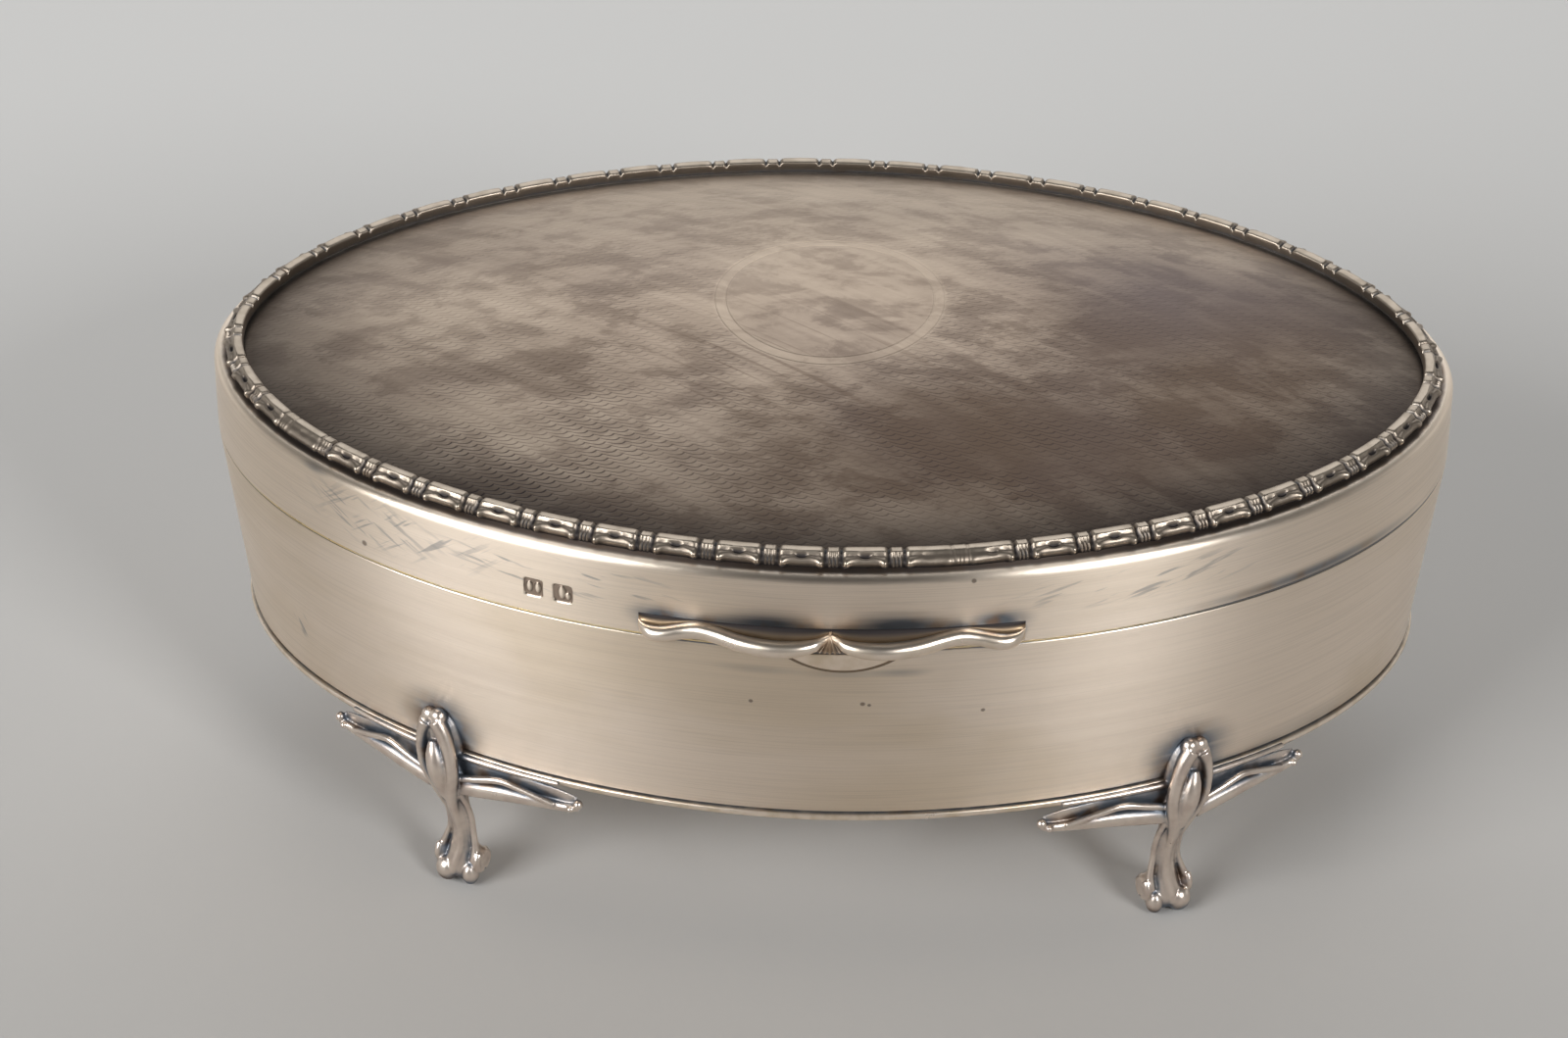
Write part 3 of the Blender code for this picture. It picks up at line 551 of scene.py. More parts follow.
def plainObject(name, bm):
    mesh = bpy.data.meshes.new(name)
    merged(bm)
    bm.to_mesh(mesh)
    bm.free()
    return placed(name, mesh)


def newPiece(name, bm, finish, body, sharp=40.0):
    merged(bm)
    if bm.calc_volume(signed=True) < 0:
        bmesh.ops.reverse_faces(bm, faces=bm.faces)
    mesh = bpy.data.meshes.new(name)
    bm.to_mesh(mesh)
    bm.free()
    mesh.shade_smooth()
    mesh.set_sharp_from_angle(angle=math.radians(sharp))
    mesh.materials.append(finish.material)
    piece = placed(name, mesh)
    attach(piece, body)
    return piece


def skin(bm, rows, closeRows=False, caps=False):
    # quads between rings of points
    rings = [[bm.verts.new(point) for point in row] for row in rows]
    for first, second in zip(rings, rings[1:] + rings[:1] if closeRows else rings[1:]):
        for index in range(len(first)):
            after = (index + 1) % len(first)
            bm.faces.new((first[index], first[after], second[after], second[index]))
    if caps:
        bm.faces.new(rings[0])
        bm.faces.new(rings[-1])


def layShadeAndTarnish(bm, shares):
    # how much tarnish and painted shade lie in each point, in the order in which the points were made
    layer = bm.verts.layers.float.new(grime)
    for vert, share in zip(bm.verts, shares):
        vert[layer] = share


def skinned(rows, shares=(), **ways):
    # a mesh of one skin, with its tarnish and painted shade
    bm = bmesh.new()
    skin(bm, rows, **ways)
    if shares:
        layShadeAndTarnish(bm, shares)
    return bm


def wrapped(profile, closed=True, angles=ringAngles):
    # a profile of (inset, z) or (inset, z, share of the way out from the middle), wrapped round
    rows = []
    for inset, z, *share in profile:
        part = share[0] if share else 1.0
        points = (ovalPoint(a, inset) * part for a in angles)
        rows.append([(p.x, p.y, z) for p in points])
    return skinned(rows, closeRows=closed)


def softened(corners, radius, steps=4):
    # a closed section with each corner rounded: corners are (inset, z) or (inset, z, own radius)
    section = []
    count = len(corners)
    for index, (inset, z, *own) in enumerate(corners):
        here = Vector((inset, z))
        before = Vector(corners[index - 1][:2])
        after = Vector(corners[(index + 1) % count][:2])
        size = own[0] if own else radius
        start = here + (before - here).normalized() * min(size, (before - here).length * 0.49)
        end = here + (after - here).normalized() * min(size, (after - here).length * 0.49)
        for step in range(steps + 1):
            t = step / steps
            section.append(tuple(start * (1 - t) ** 2 + here * 2 * t * (1 - t) + end * t ** 2))
    return section


def curveThrough(knots, steps):
    # Catmull-Rom curve through knots of any number of values
    ends = [knots[0], *knots, knots[-1]]
    path = []
    for p0, p1, p2, p3 in zip(ends, ends[1:], ends[2:], ends[3:]):
        for step in range(steps):
            u = step / steps
            weights = (
                -0.5 * u + u ** 2 - 0.5 * u ** 3,
                1 - 2.5 * u ** 2 + 1.5 * u ** 3,
                0.5 * u + 2 * u ** 2 - 1.5 * u ** 3,
                -0.5 * u ** 2 + 0.5 * u ** 3,
            )
            path.append(tuple(sum(w * v for w, v in zip(weights, values)) for values in zip(p0, p1, p2, p3)))
    path.append(tuple(knots[-1]))
    return path


def frontAngle(x):
    # the oval's own angle at a place on its front
    return math.tau - math.acos(math.copysign(abs(x / halfLength) ** (fullness / 2), x))


def frontY(x, inset=0.0):
    # the front of the oval at x
    return -(halfWidth - inset) * (1 - abs(x / halfLength) ** fullness) ** (1 / fullness)


# Body

def buildBody(finishes):
    rim = hingeZ - gap / 2
    wall = softened(
        [
            (wallInset(wallLow.z), wallLow.z),
            (wallInset(rim), rim, 0.22 * mm),
            (sheet, rim),
            (wallInset(wallLow.z) + sheet, wallLow.z),
        ],
        0.12 * mm,
    )
    piece = newPiece("bodyWall", wrapped(wall), finishes["wall"], "box")
    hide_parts("body_wall")

    edge, soft = plateEdge, 0.28 * mm
    quarter = [math.radians(a) for a in (-90, -60, -30, 0, 30, 60, 90)]
    middle = (plateLow.z + plateHigh.z) / 2
    flat = (plateHigh.z - plateLow.z) / 2 - soft
    turned = [
        (edge + soft - soft * math.cos(a), middle + math.copysign(flat, a) * (a != 0) + soft * math.sin(a))
        for a in quarter
    ]
    plate = [(edge + soft, plateLow.z, 0.0), *turned, (edge + soft, plateHigh.z, 0.0)]
    piece = newPiece("basePlate", wrapped(plate, closed=False), finishes["plate"], "box")
    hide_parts("base_plate")

    behind = wallInset(bezelLow.z) + sheet + gap
    upright = sheet + gap
    thick = 0.7 * mm
    lip = 0.11 * mm  # half the height of the narrow lip that shows in the joint
    bezel = softened(
        [
            (behind, bezelLow.z),
            (upright, hingeZ - lip),
            (0.1 * mm, hingeZ - lip, 0.03 * mm),
            (0.1 * mm, hingeZ + lip, 0.03 * mm),
            (upright, hingeZ + lip, 0.03 * mm),
            (upright, bezelHigh.z, 0.25 * mm),
            (upright + thick, bezelHigh.z, 0.25 * mm),
            (upright + thick, hingeZ),
            (behind + thick, bezelLow.z),
        ],
        0.1 * mm,
    )
    piece = newPiece("rimBezel", wrapped(bezel), finishes["gilt"], "box")
    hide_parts("rim_bezel")
    print("body built")


# Lid

# two small blank punches on the front of the band, with plain bosses in them
punches = {
    "size": 1.3 * mm,  # half the side
    "depth": 0.2 * mm,
    # x, height, then the bosses as (across, up, half width, half height)
    "marks": [
        (-33.3 * mm, 52.95 * mm, [(-0.42, 0.0, 0.34, 0.6), (0.42, 0.0, 0.34, 0.6)]),
        (-29.7 * mm, 52.95 * mm, [(-0.1, 0.05, 0.4, 0.75), (0.5, -0.25, 0.28, 0.4)]),
    ],
    # the stretch of the band that has closer points
    "from": -36.0 * mm,
    "to": -27.0 * mm,
    "step": 0.09 * mm,
    "apart": 0.004,  # how far off, in radians, the even points go on
    "alongPerX": 1.06,  # the front of the oval runs slantwise there
}
band = {
    "lean": 0.35 * mm,
    "turn": 1.1 * mm,  # radius of the rounded shoulder
    "flangeDrop": 0.12 * mm,  # of the flange's upper face, which painted shade and tarnish cover
    "clean": 1.0 * mm,  # inset at which that painted shade and tarnish start
    "blend": 0.9 * mm,
    "level": 0.2 * mm,  # points this near the top are of the shoulder and the flange
}


def punchDepth(along, z):
    # how deep the band is struck at a place: along the band from the first mark's middle, height
    depth = 0.0
    first = punches["marks"][0][0]
    for x, height, bosses in punches["marks"]:
        across = (along - (x - first) * punches["alongPerX"]) / punches["size"]
        up = (z - height) / punches["size"]
        edge = 1 - (across ** 6 + up ** 6)
        if edge > 0:
            struck = min(1.0, edge * 2.5)
            for side, rise, wide, tall in bosses:
                near = ((across - side) / wide) ** 2 + ((up - rise) / tall) ** 2
                struck *= 1 - 0.8 * max(0.0, 1 - near) ** 0.5
            depth = max(depth, punches["depth"] * struck)
    return depth


def buildBand(finishes, profile):
    # the band's ring has extra points where the punches are
    run, angles = ovalRun(0.0)
    start, end = frontAngle(punches["from"]), frontAngle(punches["to"])
    first = float(np.interp(frontAngle(punches["marks"][0][0]), angles, run))
    runs = np.arange(np.interp(start, angles, run), np.interp(end, angles, run), punches["step"])
    dense = np.interp(runs, run, angles)
    apart = punches["apart"]
    ring = sorted([a for a in ringAngles if not start - apart < a < end + apart] + list(dense))
    rows, dirt = [], []
    for inset, z in profile:
        row = []
        for angle in ring:
            struck = 0.0
            if start <= angle <= end and inset < band["lean"] + 0.01 * mm:
                struck = punchDepth(float(np.interp(angle, angles, run)) - first, z)
            # painted shade and tarnish on the flange beside the border; tarnish in the punch marks
            if z > bandHigh.z - band["level"]:
                dirt.append(min(1.0, max(0.0, (inset - band["clean"]) / band["blend"])))
            else:
                dirt.append(struck / punches["depth"])
            point = ovalPoint(angle, inset + struck)
            row.append((point.x, point.y, z))
        rows.append(row)
    bm = skinned(rows, dirt, closeRows=True)
    piece = newPiece("lidBand", bm, finishes["band"], "lid")
    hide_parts("lid_band")


def buildLid(finishes):
    low = hingeZ + gap / 2
    lean, turn, drop = band["lean"], band["turn"], band["flangeDrop"]
    shoulder = bandHigh.z
    corner = [
        (lean + turn - turn * math.cos(math.radians(a)), shoulder - turn + turn * math.sin(math.radians(a)))
        for a in range(0, 91, 10)
    ]
    under = shoulder - sheet
    inner = lidInner
    height = punches["marks"][0][1]
    reach = punches["size"] + 0.15 * mm  # a little past the marks
    struck = np.arange(height - reach, height + reach, punches["step"])
    section = [
        (0.12 * mm, low),
        (0.0, low + 0.12 * mm),
        *((lean * (z - low) / (shoulder - low), z) for z in struck),
        *corner,
        (inner - 0.75 * mm, shoulder - drop),
        (inner, shoulder - drop),
        (inner, under),
        (lean + turn + 0.5 * mm, under),
        (lean + sheet, under - 0.7 * mm),
        (sheet, low),
    ]
    buildBand(finishes, section)
    buildDome(finishes)
    print("lid built")


# the domed top: round rings in the middle, where the cartouche is cut, oval ones outside
dome = {
    "sheet": 0.8 * mm,
    "ovalRings": 40,
    "outerRings": (15.6 * mm, 16.4 * mm, 17.2 * mm, 18.0 * mm),
    # from where, how many, how far apart
    "fineRings": (12.6 * mm, 36, 0.07 * mm),
    "innerRings": (0.4 * mm, 30, 0.4 * mm),
    "lines": (14.7 * mm, 13.3 * mm),  # radii of the cartouche's two lines
    "lineHalf": 0.16 * mm,
    "lineDepth": 0.05 * mm,
    "rimDirt": 0.75,  # painted shadow and tarnish beside the border, at the ends
    "rimUneven": 0.25,  # more at the front, and less at the back
}


def capLast(bm):
    # a face over the last ring of points
    bm.faces.new(list(bm.verts)[-ringCount:])


def buildDome(finishes):
    edge = lidInner + gap
    rise = topHigh.z - bandHigh.z
    reachX, reachY = halfLength - edge, halfWidth - edge
    roundTo = dome["outerRings"][-1]

    def domeZ(x, y):
        share = (abs(x / reachX) ** fullness + abs(y / reachY) ** fullness) ** (1 / fullness)
        return bandHigh.z + rise * (1 - min(share, 1.0) ** 2)

    def cutAt(radius):
        depth = 0.0
        for line in dome["lines"]:
            depth += dome["lineDepth"] * max(0.0, 1 - abs(radius - line) / dome["lineHalf"])
        return depth

    radii = []
    for start, count, step in (dome["innerRings"], dome["fineRings"]):
        radii += [start + step * k for k in range(count)]
    radii += dome["outerRings"]
    rows = []
    for radius in reversed(radii):
        ring = [(radius * math.cos(a), radius * math.sin(a)) for a in ringAngles]
        rows.append([(x, y, domeZ(x, y) - cutAt(radius)) for x, y in ring])
    steps = dome["ovalRings"]
    outer = []
    for step in range(steps, 0, -1):
        t = step / steps
        ring = []
        for angle in ringAngles:
            far = ovalPoint(angle, edge)
            near = Vector((math.cos(angle), math.sin(angle))) * roundTo
            p = near.lerp(far, t)
            ring.append((p.x, p.y, domeZ(p.x, p.y)))
        outer.append(ring)
    under = [[(x, y, z - dome["sheet"]) for x, y, z in outer[k]] for k in range(0, steps, 4)]
    bm = bmesh.new()
    skin(bm, [under[0], *outer, *rows])
    # painted shadow and tarnish beside the border, darkest at the lid's edge
    rimDirt = []
    for step in range(steps):
        near = max(0.0, 1 - 3 * step / steps)
        rimDirt += [near * (dome["rimDirt"] - dome["rimUneven"] * math.sin(a)) for a in ringAngles]
    layShadeAndTarnish(bm, [1.0] * ringCount + rimDirt)
    capLast(bm)
    skin(bm, under)
    capLast(bm)
    piece = newPiece("lidTop", bm, finishes["lid"], "lid")
    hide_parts("lid_top")


# sections of the border's strip, each from its rail over the top to its outer foot, in millimetres
# (across, up, tarnish and painted shade from 0 to 1, darkest in the gaps and on the lower outer faces), at so
# far from the middle of the barrel or reel
border = {
    "repeats": 52,
    "start": 2.8 * mm,  # along the oval from +X to the middle of the first reel
    "inset": 3.1 * mm,
    "worn": [(302, 314), (216, 228)],  # stretches rubbed smooth, in millimetres along the oval
    "wear": 0.8,
    "inner": [(-1.15, 0.0, 0.7), (-1.12, 1.0, 0.4), (-0.95, 1.4, 0.15)],
    "barrel": {
        0.0: [
            (-0.1, 1.5, 0.1), (0.14, 1.4, 0.2), (0.34, 0.72, 1.0), (0.68, 0.8, 0.7),
            (0.9, 0.72, 0.4), (1.06, 0.38, 0.3), (0.95, -0.3, 1.0),
        ],
        0.45: [
            (-0.1, 1.5, 0.1), (0.14, 1.4, 0.2), (0.34, 0.8, 1.0), (0.68, 0.86, 0.6),
            (0.9, 0.74, 0.4), (1.06, 0.38, 0.3), (0.95, -0.3, 1.0),
        ],
        0.85: [
            (-0.1, 1.5, 0.1), (0.14, 1.4, 0.15), (0.36, 1.12, 0.4), (0.62, 0.98, 0.4),
            (0.88, 0.76, 0.45), (1.06, 0.4, 0.3), (0.95, -0.3, 1.0),
        ],
        1.3: [
            (-0.1, 1.5, 0.1), (0.14, 1.38, 0.15), (0.38, 1.0, 0.45), (0.7, 0.95, 0.4),
            (0.96, 0.72, 0.45), (1.1, 0.36, 0.3), (0.95, -0.3, 1.0),
        ],
        1.75: [
            (-0.1, 1.5, 0.1), (0.16, 1.34, 0.2), (0.42, 0.96, 0.5), (0.82, 0.92, 0.4),
            (1.12, 0.64, 0.35), (1.2, 0.25, 0.6), (1.0, -0.32, 1.0),
        ],
        2.15: [
            (-0.1, 1.48, 0.1), (0.2, 1.28, 0.25), (0.5, 0.98, 0.4), (0.95, 0.88, 0.25),
            (1.36, 0.62, 0.0), (1.42, 0.2, 0.0), (1.1, -0.35, 0.9),
        ],
        2.42: [
            (-0.1, 1.4, 0.15), (0.2, 1.2, 0.3), (0.5, 0.9, 0.4), (0.92, 0.82, 0.25),
            (1.34, 0.57, 0.0), (1.36, 0.16, 0.1), (1.1, -0.35, 0.9),
        ],
        2.62: [
            (-0.1, 1.2, 0.4), (0.15, 1.02, 0.5), (0.42, 0.78, 0.6), (0.76, 0.62, 0.6),
            (1.06, 0.4, 0.5), (1.1, 0.08, 0.6), (1.0, -0.35, 1.0),
        ],
        2.8: [
            (-0.1, 0.95, 0.9), (0.05, 0.85, 0.95), (0.33, 0.62, 1.0), (0.6, 0.44, 0.95),
            (0.82, 0.24, 0.9), (0.9, 0.0, 0.9), (0.9, -0.35, 1.0),
        ],
    },
    "bead": [
        (-0.1, 1.4, 0.15), (0.15, 1.24, 0.2), (0.46, 0.94, 0.4), (0.8, 0.82, 0.35),
        (1.1, 0.56, 0.1), (1.18, 0.22, 0.0), (1.0, -0.32, 0.9),
    ],
    "valley": [
        (-0.1, 1.38, 0.2), (0.15, 1.18, 0.3), (0.42, 0.86, 0.5), (0.68, 0.64, 0.7),
        (0.88, 0.4, 0.7), (0.95, 0.08, 0.8), (0.9, -0.32, 1.0),
    ],
    "reel": {0.0: "bead", 0.22: "valley", 0.44: "bead", 0.62: "valley"},
    "rubbed": [
        (-0.15, 1.4, 0.1), (0.15, 1.28, 0.15), (0.5, 1.04, 0.3), (0.86, 0.8, 0.35),
        (1.15, 0.5, 0.35), (1.25, 0.2, 0.5), (1.05, -0.4, 1.0),
    ],
}


def flattened(points):
    return [v for point in points for v in point]


def borderKeys(pitch):
    # one repeat from the middle of a reel to the middle of the next, as (place, *values)
    reel = [(place, *flattened(border[kind])) for place, kind in border["reel"].items()]
    barrel = [(pitch / 2 - far, *flattened(points)) for far, points in border["barrel"].items()]
    half = reel + barrel[::-1]
    return half + [(pitch - place, *rest) for place, *rest in reversed(half[:-1])][:-1]


def buildBorder(finishes):
    run, angles = ovalRun(border["inset"])
    pitch = run[-1] / border["repeats"]
    keys = borderKeys(pitch / mm)
    stations = curveThrough([*keys, (pitch / mm, *keys[0][1:])], 2)[:-1]
    over = border["inset"] + 1.1 * mm - lidInner - gap
    share = 1 - over / (halfWidth - lidInner - gap)
    floorZ = bandHigh.z + gap + (topHigh.z - bandHigh.z) * (1 - share ** 2)
    rows, dirt = [], []
    for repeat in range(border["repeats"]):
        for place, *flat in stations:
            along = (border["start"] + repeat * pitch + place * mm) % run[-1]
            wear = 0.0
            for low, high in border["worn"]:
                inside = min((along / mm - low) / 3, (high - along / mm) / 3, 1.0)
                wear = max(wear, border["wear"] * inside)
            flat = [a + (b - a) * wear for a, b in zip(flat, flattened(border["rubbed"]))]
            # the inner side drops with the top of the rail
            drop = flat[1] / border["barrel"][0.0][0][1]
            inner = [(across, up * drop, laid) for across, up, laid in border["inner"]]
            section = [*inner, *zip(flat[::3], flat[1::3], flat[2::3])]
            angle = float(np.interp(along, run, angles))
            middle, out = ovalPoint(angle, border["inset"]), ovalNormal(angle)
            row = []
            for across, up, laid in curveThrough(section, 3):
                point = middle + out * across * mm
                row.append((point.x, point.y, floorZ + up * mm))
                dirt.append(min(1.0, max(0.0, laid)))
            rows.append(row)
    bm = skinned(rows, dirt, closeRows=True)
    piece = newPiece("lidBorder", bm, finishes["border"], "lid", sharp=75)
    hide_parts("lid_border")
    print("border built:", len(piece.data.polygons), "faces")


# the thumbpiece, in millimetres: distance from its middle, reach of the roll's centre from the
# band, its height over the joint, its radius
thumb = {
    "middle": (thumbLow.x + thumbHigh.x) / 2,
    "roll": [
        (0.0, 0.5, 2.4, 0.4), (0.8, 1.1, 2.3, 0.58), (1.8, 1.8, 2.05, 0.8), (4.0, 2.35, 1.85, 0.98),
        (7.0, 2.5, 1.8, 1.06), (10.5, 2.0, 1.9, 1.06), (13.5, 1.15, 2.15, 1.04),
        (15.6, 0.75, 2.25, 1.05), (17.6, 0.9, 2.0, 1.0), (20.0, 1.4, 1.6, 1.0),
        (21.6, 1.35, 1.55, 0.95), (22.6, 0.8, 1.75, 0.75), (23.0, 0.35, 2.0, 0.45),
    ],
    "root": 3.1,  # height at which the dish meets the band
    "under": 0.42,  # and that of its underside
    "sunk": 0.25,  # how far it runs into the band
    "dish": 0.4,  # depth of the dish, as a share of its width
    # painted shade and tarnish over the dish, from the roll to the root, darkest at the root
    "grime": [0.1, 0.35, 0.48, 0.56, 0.68, 0.84, 0.96, 1.0, 1.0],
    # fluted fan between the two bows: half width, reach and height at its foot and at its tip
    "fan": [(1.5, 1.75, 0.95), (0.95, 1.55, 1.75), (0.3, 1.1, 2.6), (0.1, 0.7, 2.95)],
    "flutes": 5,
    "fanGrime": 0.3,
}


def thumbPoint(across, out, up):
    # a point from the thumbpiece's middle at the joint, out from the band, in millimetres
    x = thumb["middle"] + across * mm
    return x, frontY(x) - out * mm, hingeZ + up * mm


def buildThumbpiece(finishes):
    path = curveThrough(thumb["roll"], 10)
    stations = [(-x, *rest) for x, *rest in reversed(path[1:])] + path
    rows, dirt = [], []
    for x, reach, height, radius in stations:
        section = [(-thumb["sunk"], thumb["under"] + 0.08), (0.0, thumb["under"])]
        for turn in range(-110, 136, 15):
            a = math.radians(turn)
            section.append((max(0.02, reach + radius * math.cos(a)), height + radius * math.sin(a)))
        lipOut, lipUp = section[-1]
        for share in (0.15, 0.3, 0.45, 0.6, 0.75, 0.9):
            sag = thumb["dish"] * lipOut * 4 * share * (1 - share)
            section.append((lipOut * (1 - share), lipUp + (thumb["root"] - lipUp) * share - sag))
        section += [(0.0, thumb["root"]), (-thumb["sunk"], thumb["root"] + 0.1)]
        dirt += [0.0] * (len(section) - len(thumb["grime"])) + thumb["grime"]
        rows.append([thumbPoint(x, out, up) for out, up in section])
    bm = bmesh.new()
    skin(bm, rows, caps=True)
    fan = curveThrough(thumb["fan"], 4)
    rows = []
    for half, reach, up in fan:
        row = []
        for step in range(25):
            side = 2 * step / 24 - 1
            flute = 0.16 * half * math.cos(side * thumb["flutes"] * math.pi)
            row.append(thumbPoint(side * half, reach - 0.3 * side ** 2 + flute, up))
        rows.append([*row, thumbPoint(half, -0.2, up), thumbPoint(-half, -0.2, up)])
    skin(bm, rows, caps=True)
    layShadeAndTarnish(bm, dirt + [thumb["fanGrime"]] * len(rows) * len(rows[0]))
    piece = newPiece("thumbpieceCast", bm, finishes["thumb"], "lid", sharp=70)
    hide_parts("thumbpiece")
    print("thumbpiece built")


# the plate on the wall under the thumbpiece, a thin segment of a circle
segment = {
    "middle": 4.1 * mm,
    "radius": 10.6 * mm,
    "drop": 2.4 * mm,
    "top": 0.5 * mm,  # under the joint
    "thick": 0.42 * mm,
    "soft": 0.1 * mm,
    "skirt": 0.6 * mm,  # of solder round it, darkened with painted shadow and tarnish
    "grime": (0.58, 0.35),  # painted shadow and tarnish on the skirt and at the plate's edge
}


def buildSegment(finishes):
    radius, drop = segment["radius"], segment["drop"]
    half = math.acos(1 - drop / radius)
    topZ = hingeZ - segment["top"]

    def outline(shrink, out):
        points = []
        for step in range(49):
            a = half * (2 * step / 48 - 1)
            across = (radius - shrink) * math.sin(a)
            down = min(-max(shrink, 0.0), radius - drop - (radius - shrink) * math.cos(a))
            x, z = segment["middle"] + across, topZ + down
            points.append((x, frontY(x, wallInset(z)) - out, z))
        return points

    thick, soft, skirt = segment["thick"], segment["soft"], segment["skirt"]
    rows = [outline(-skirt, -0.05 * mm), outline(-skirt, 0.06 * mm), outline(-0.1 * skirt, 0.14 * mm)]
    rows += [outline(0.0, thick - soft), outline(0.3 * soft, thick - 0.3 * soft), outline(soft, thick)]
    skirtShadeAndTarnish, edge = segment["grime"]
    bm = skinned(rows, [skirtShadeAndTarnish] * 3 * len(rows[0]) + [edge] * len(rows[0]), caps=True)
    piece = newPiece("rimSegmentPlate", bm, finishes["plate"], "box", sharp=50)
    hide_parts("rim_segment")


# Feet

foot = {
    "angle": 37.8,  # of the knee, round the oval from the front, in degrees
    "nearReach": 19.4,  # of the wing towards the thumbpiece
    "farReach": 16.8,
    "voxel": 0.14,
    # millimetres along the oval, out from the base plate's edge, up from its underside, radius
    "core": [
        (0.5, 0.2, 6.3, 1.2), (0.2, -0.1, 4.0, 1.7), (-0.2, -0.1, 1.0, 1.8), (-0.8, 0.0, -2.5, 1.8),
        (-1.4, 0.0, -5.8, 1.6), (-1.6, -0.5, -9.0, 1.4), (-1.7, -0.9, -12.4, 1.35),
        (-1.6, -0.8, -15.2, 1.6), (-1.4, -0.5, -17.6, 2.0),
    ],
    "nearRim": [
        (-0.3, 1.3, 6.0, 1.05), (-1.4, 1.5, 4.2, 1.0), (-2.4, 1.9, 1.4, 0.92), (-2.7, 2.2, -1.6, 0.88),
        (-2.3, 2.1, -4.4, 0.82), (-1.9, 1.4, -7.0, 0.74), (-1.8, 0.5, -9.6, 0.62),
        (-1.9, 0.1, -12.3, 0.6), (-1.9, 0.3, -15.0, 0.68), (-1.4, 0.8, -17.4, 0.85),
        (-0.9, 0.9, -19.0, 1.0),
    ],
    "farRim": [
        (1.2, 1.2, 5.5, 1.0), (2.0, 1.2, 3.4, 0.8), (2.2, 1.4, 1.0, 0.72), (1.7, 1.7, -1.5, 0.7),
        (0.6, 1.8, -3.6, 0.65), (-0.4, 1.5, -5.8, 0.6), (-0.8, 0.6, -8.4, 0.5),
    ],
    "leaf": [
        (0.1, 1.7, 3.0, 0.6), (-0.3, 2.1, 1.3, 1.2), (-0.8, 2.4, -0.8, 1.4), (-1.2, 2.1, -3.2, 1.2),
        (-1.5, 1.6, -5.6, 0.8),
    ],
    "nearRib": [
        (-2.9, 1.2, -5.0, 0.45), (-3.2, 0.1, -7.8, 0.42), (-3.35, -0.5, -10.4, 0.42),
        (-3.4, -0.6, -12.6, 0.45), (-3.8, -0.2, -14.9, 0.5), (-3.9, 0.4, -17.0, 0.7),
    ],
    "farRib": [
        (0.3, 0.9, -5.4, 0.45), (0.1, -0.1, -8.2, 0.42), (0.0, -0.6, -12.2, 0.42),
        (0.6, -0.5, -14.6, 0.5), (1.2, -0.1, -16.4, 0.6),
    ],
    # along, out, up, size in those three directions
    "balls": [
        (-0.3, 0.8, 6.3, (1.2, 1.1, 1.2)), (1.1, 0.7, 6.0, (1.05, 1.0, 1.2)),
        (-0.3, -0.2, 1.2, (2.7, 1.5, 5.4)), (-1.3, 0.0, -4.0, (2.2, 1.5, 3.8)),
        (-1.6, -1.1, -17.2, (3.3, 1.1, 2.8)), (-1.5, -0.6, -18.3, (2.1, 2.1, 2.7)),
        (0.0, 0.8, -19.1, (1.6, 1.5, 1.8)), (-3.3, 0.5, -19.0, (1.1, 1.3, 1.7)),
    ],
    "volutes": [(1.4, -0.8, -17.4), (-4.4, -0.9, -17.2)],
    "voluteTurn": {"start": 1.7, "end": 0.6, "turns": 1.25, "wire": 0.5},
    # each wing: share of its reach, out, up, radius
    "band": [
        (0.06, 0.9, -4.4, 1.2), (0.25, 0.7, -3.8, 1.25), (0.5, 0.45, -3.2, 1.15),
        (0.75, 0.35, -3.1, 0.8), (0.92, 0.45, -2.9, 0.6), (1.0, 0.6, -2.4, 0.5),
    ],
    "scroll": [
        (0.1, 1.3, -2.7, 0.5), (0.28, 1.25, -1.7, 0.5), (0.46, 1.0, -0.9, 0.5), (0.62, 0.9, -1.5, 0.45),
        (0.84, 0.8, -2.6, 0.38),
    ],
    "upperRib": [(0.05, 0.3, 0.45, 0.5), (0.5, 0.2, 0.45, 0.42), (0.86, 0.1, 0.4, 0.36)],
    "web": [(0.03, -0.2, -2.2, 2.6), (0.4, -0.2, -1.8, 2.0), (0.8, -0.2, -1.7, 1.2), (0.98, -0.1, -1.9, 0.7)],
    "tip": [(1.0, 0.6, -1.9, 0.65), (0.95, 0.9, -2.7, 0.45)],
}
footRun = ovalRun(plateEdge)


def footPlace(along, out, up):
    # a point along the oval from the knee, out from the plate's edge and up from its underside
    run, angles = footRun
    knee = np.interp(math.radians(foot["angle"] - 90) % math.tau, angles, run)
    angle = np.interp((knee + along * mm) % run[-1], run, angles)
    flat = ovalPoint(angle, plateEdge - out * mm)
    return Vector((flat.x, flat.y, plateLow.z + up * mm))


def tubeMesh(bm, points, flatten=1.0, sides=14):
    # a closed tapering tube through (point, radius); flatten thins it square to the oval
    rings = []
    for index, (here, radius) in enumerate(points):
        ahead = points[min(index + 1, len(points) - 1)][0] - points[max(index - 1, 0)][0]
        forward = ahead.normalized()
        out = Vector((here.x / halfLength ** 2, here.y / halfWidth ** 2, 0)).normalized()
        side = forward.cross(out).normalized()
        out = side.cross(forward)
        ring = []
        for step in range(sides):
            a = math.tau * step / sides
            ring.append(here + side * math.cos(a) * radius + out * math.sin(a) * radius * flatten)
        rings.append(ring)
    skin(bm, rings, caps=True)


def ballMesh(bm, centre, size, turn):
    matrix = Matrix.Translation(centre) @ Matrix.Rotation(turn, 4, "Z") @ Matrix.Diagonal((*size, 1.0))
    bmesh.ops.create_uvsphere(bm, u_segments=24, v_segments=16, radius=1.0, matrix=matrix)


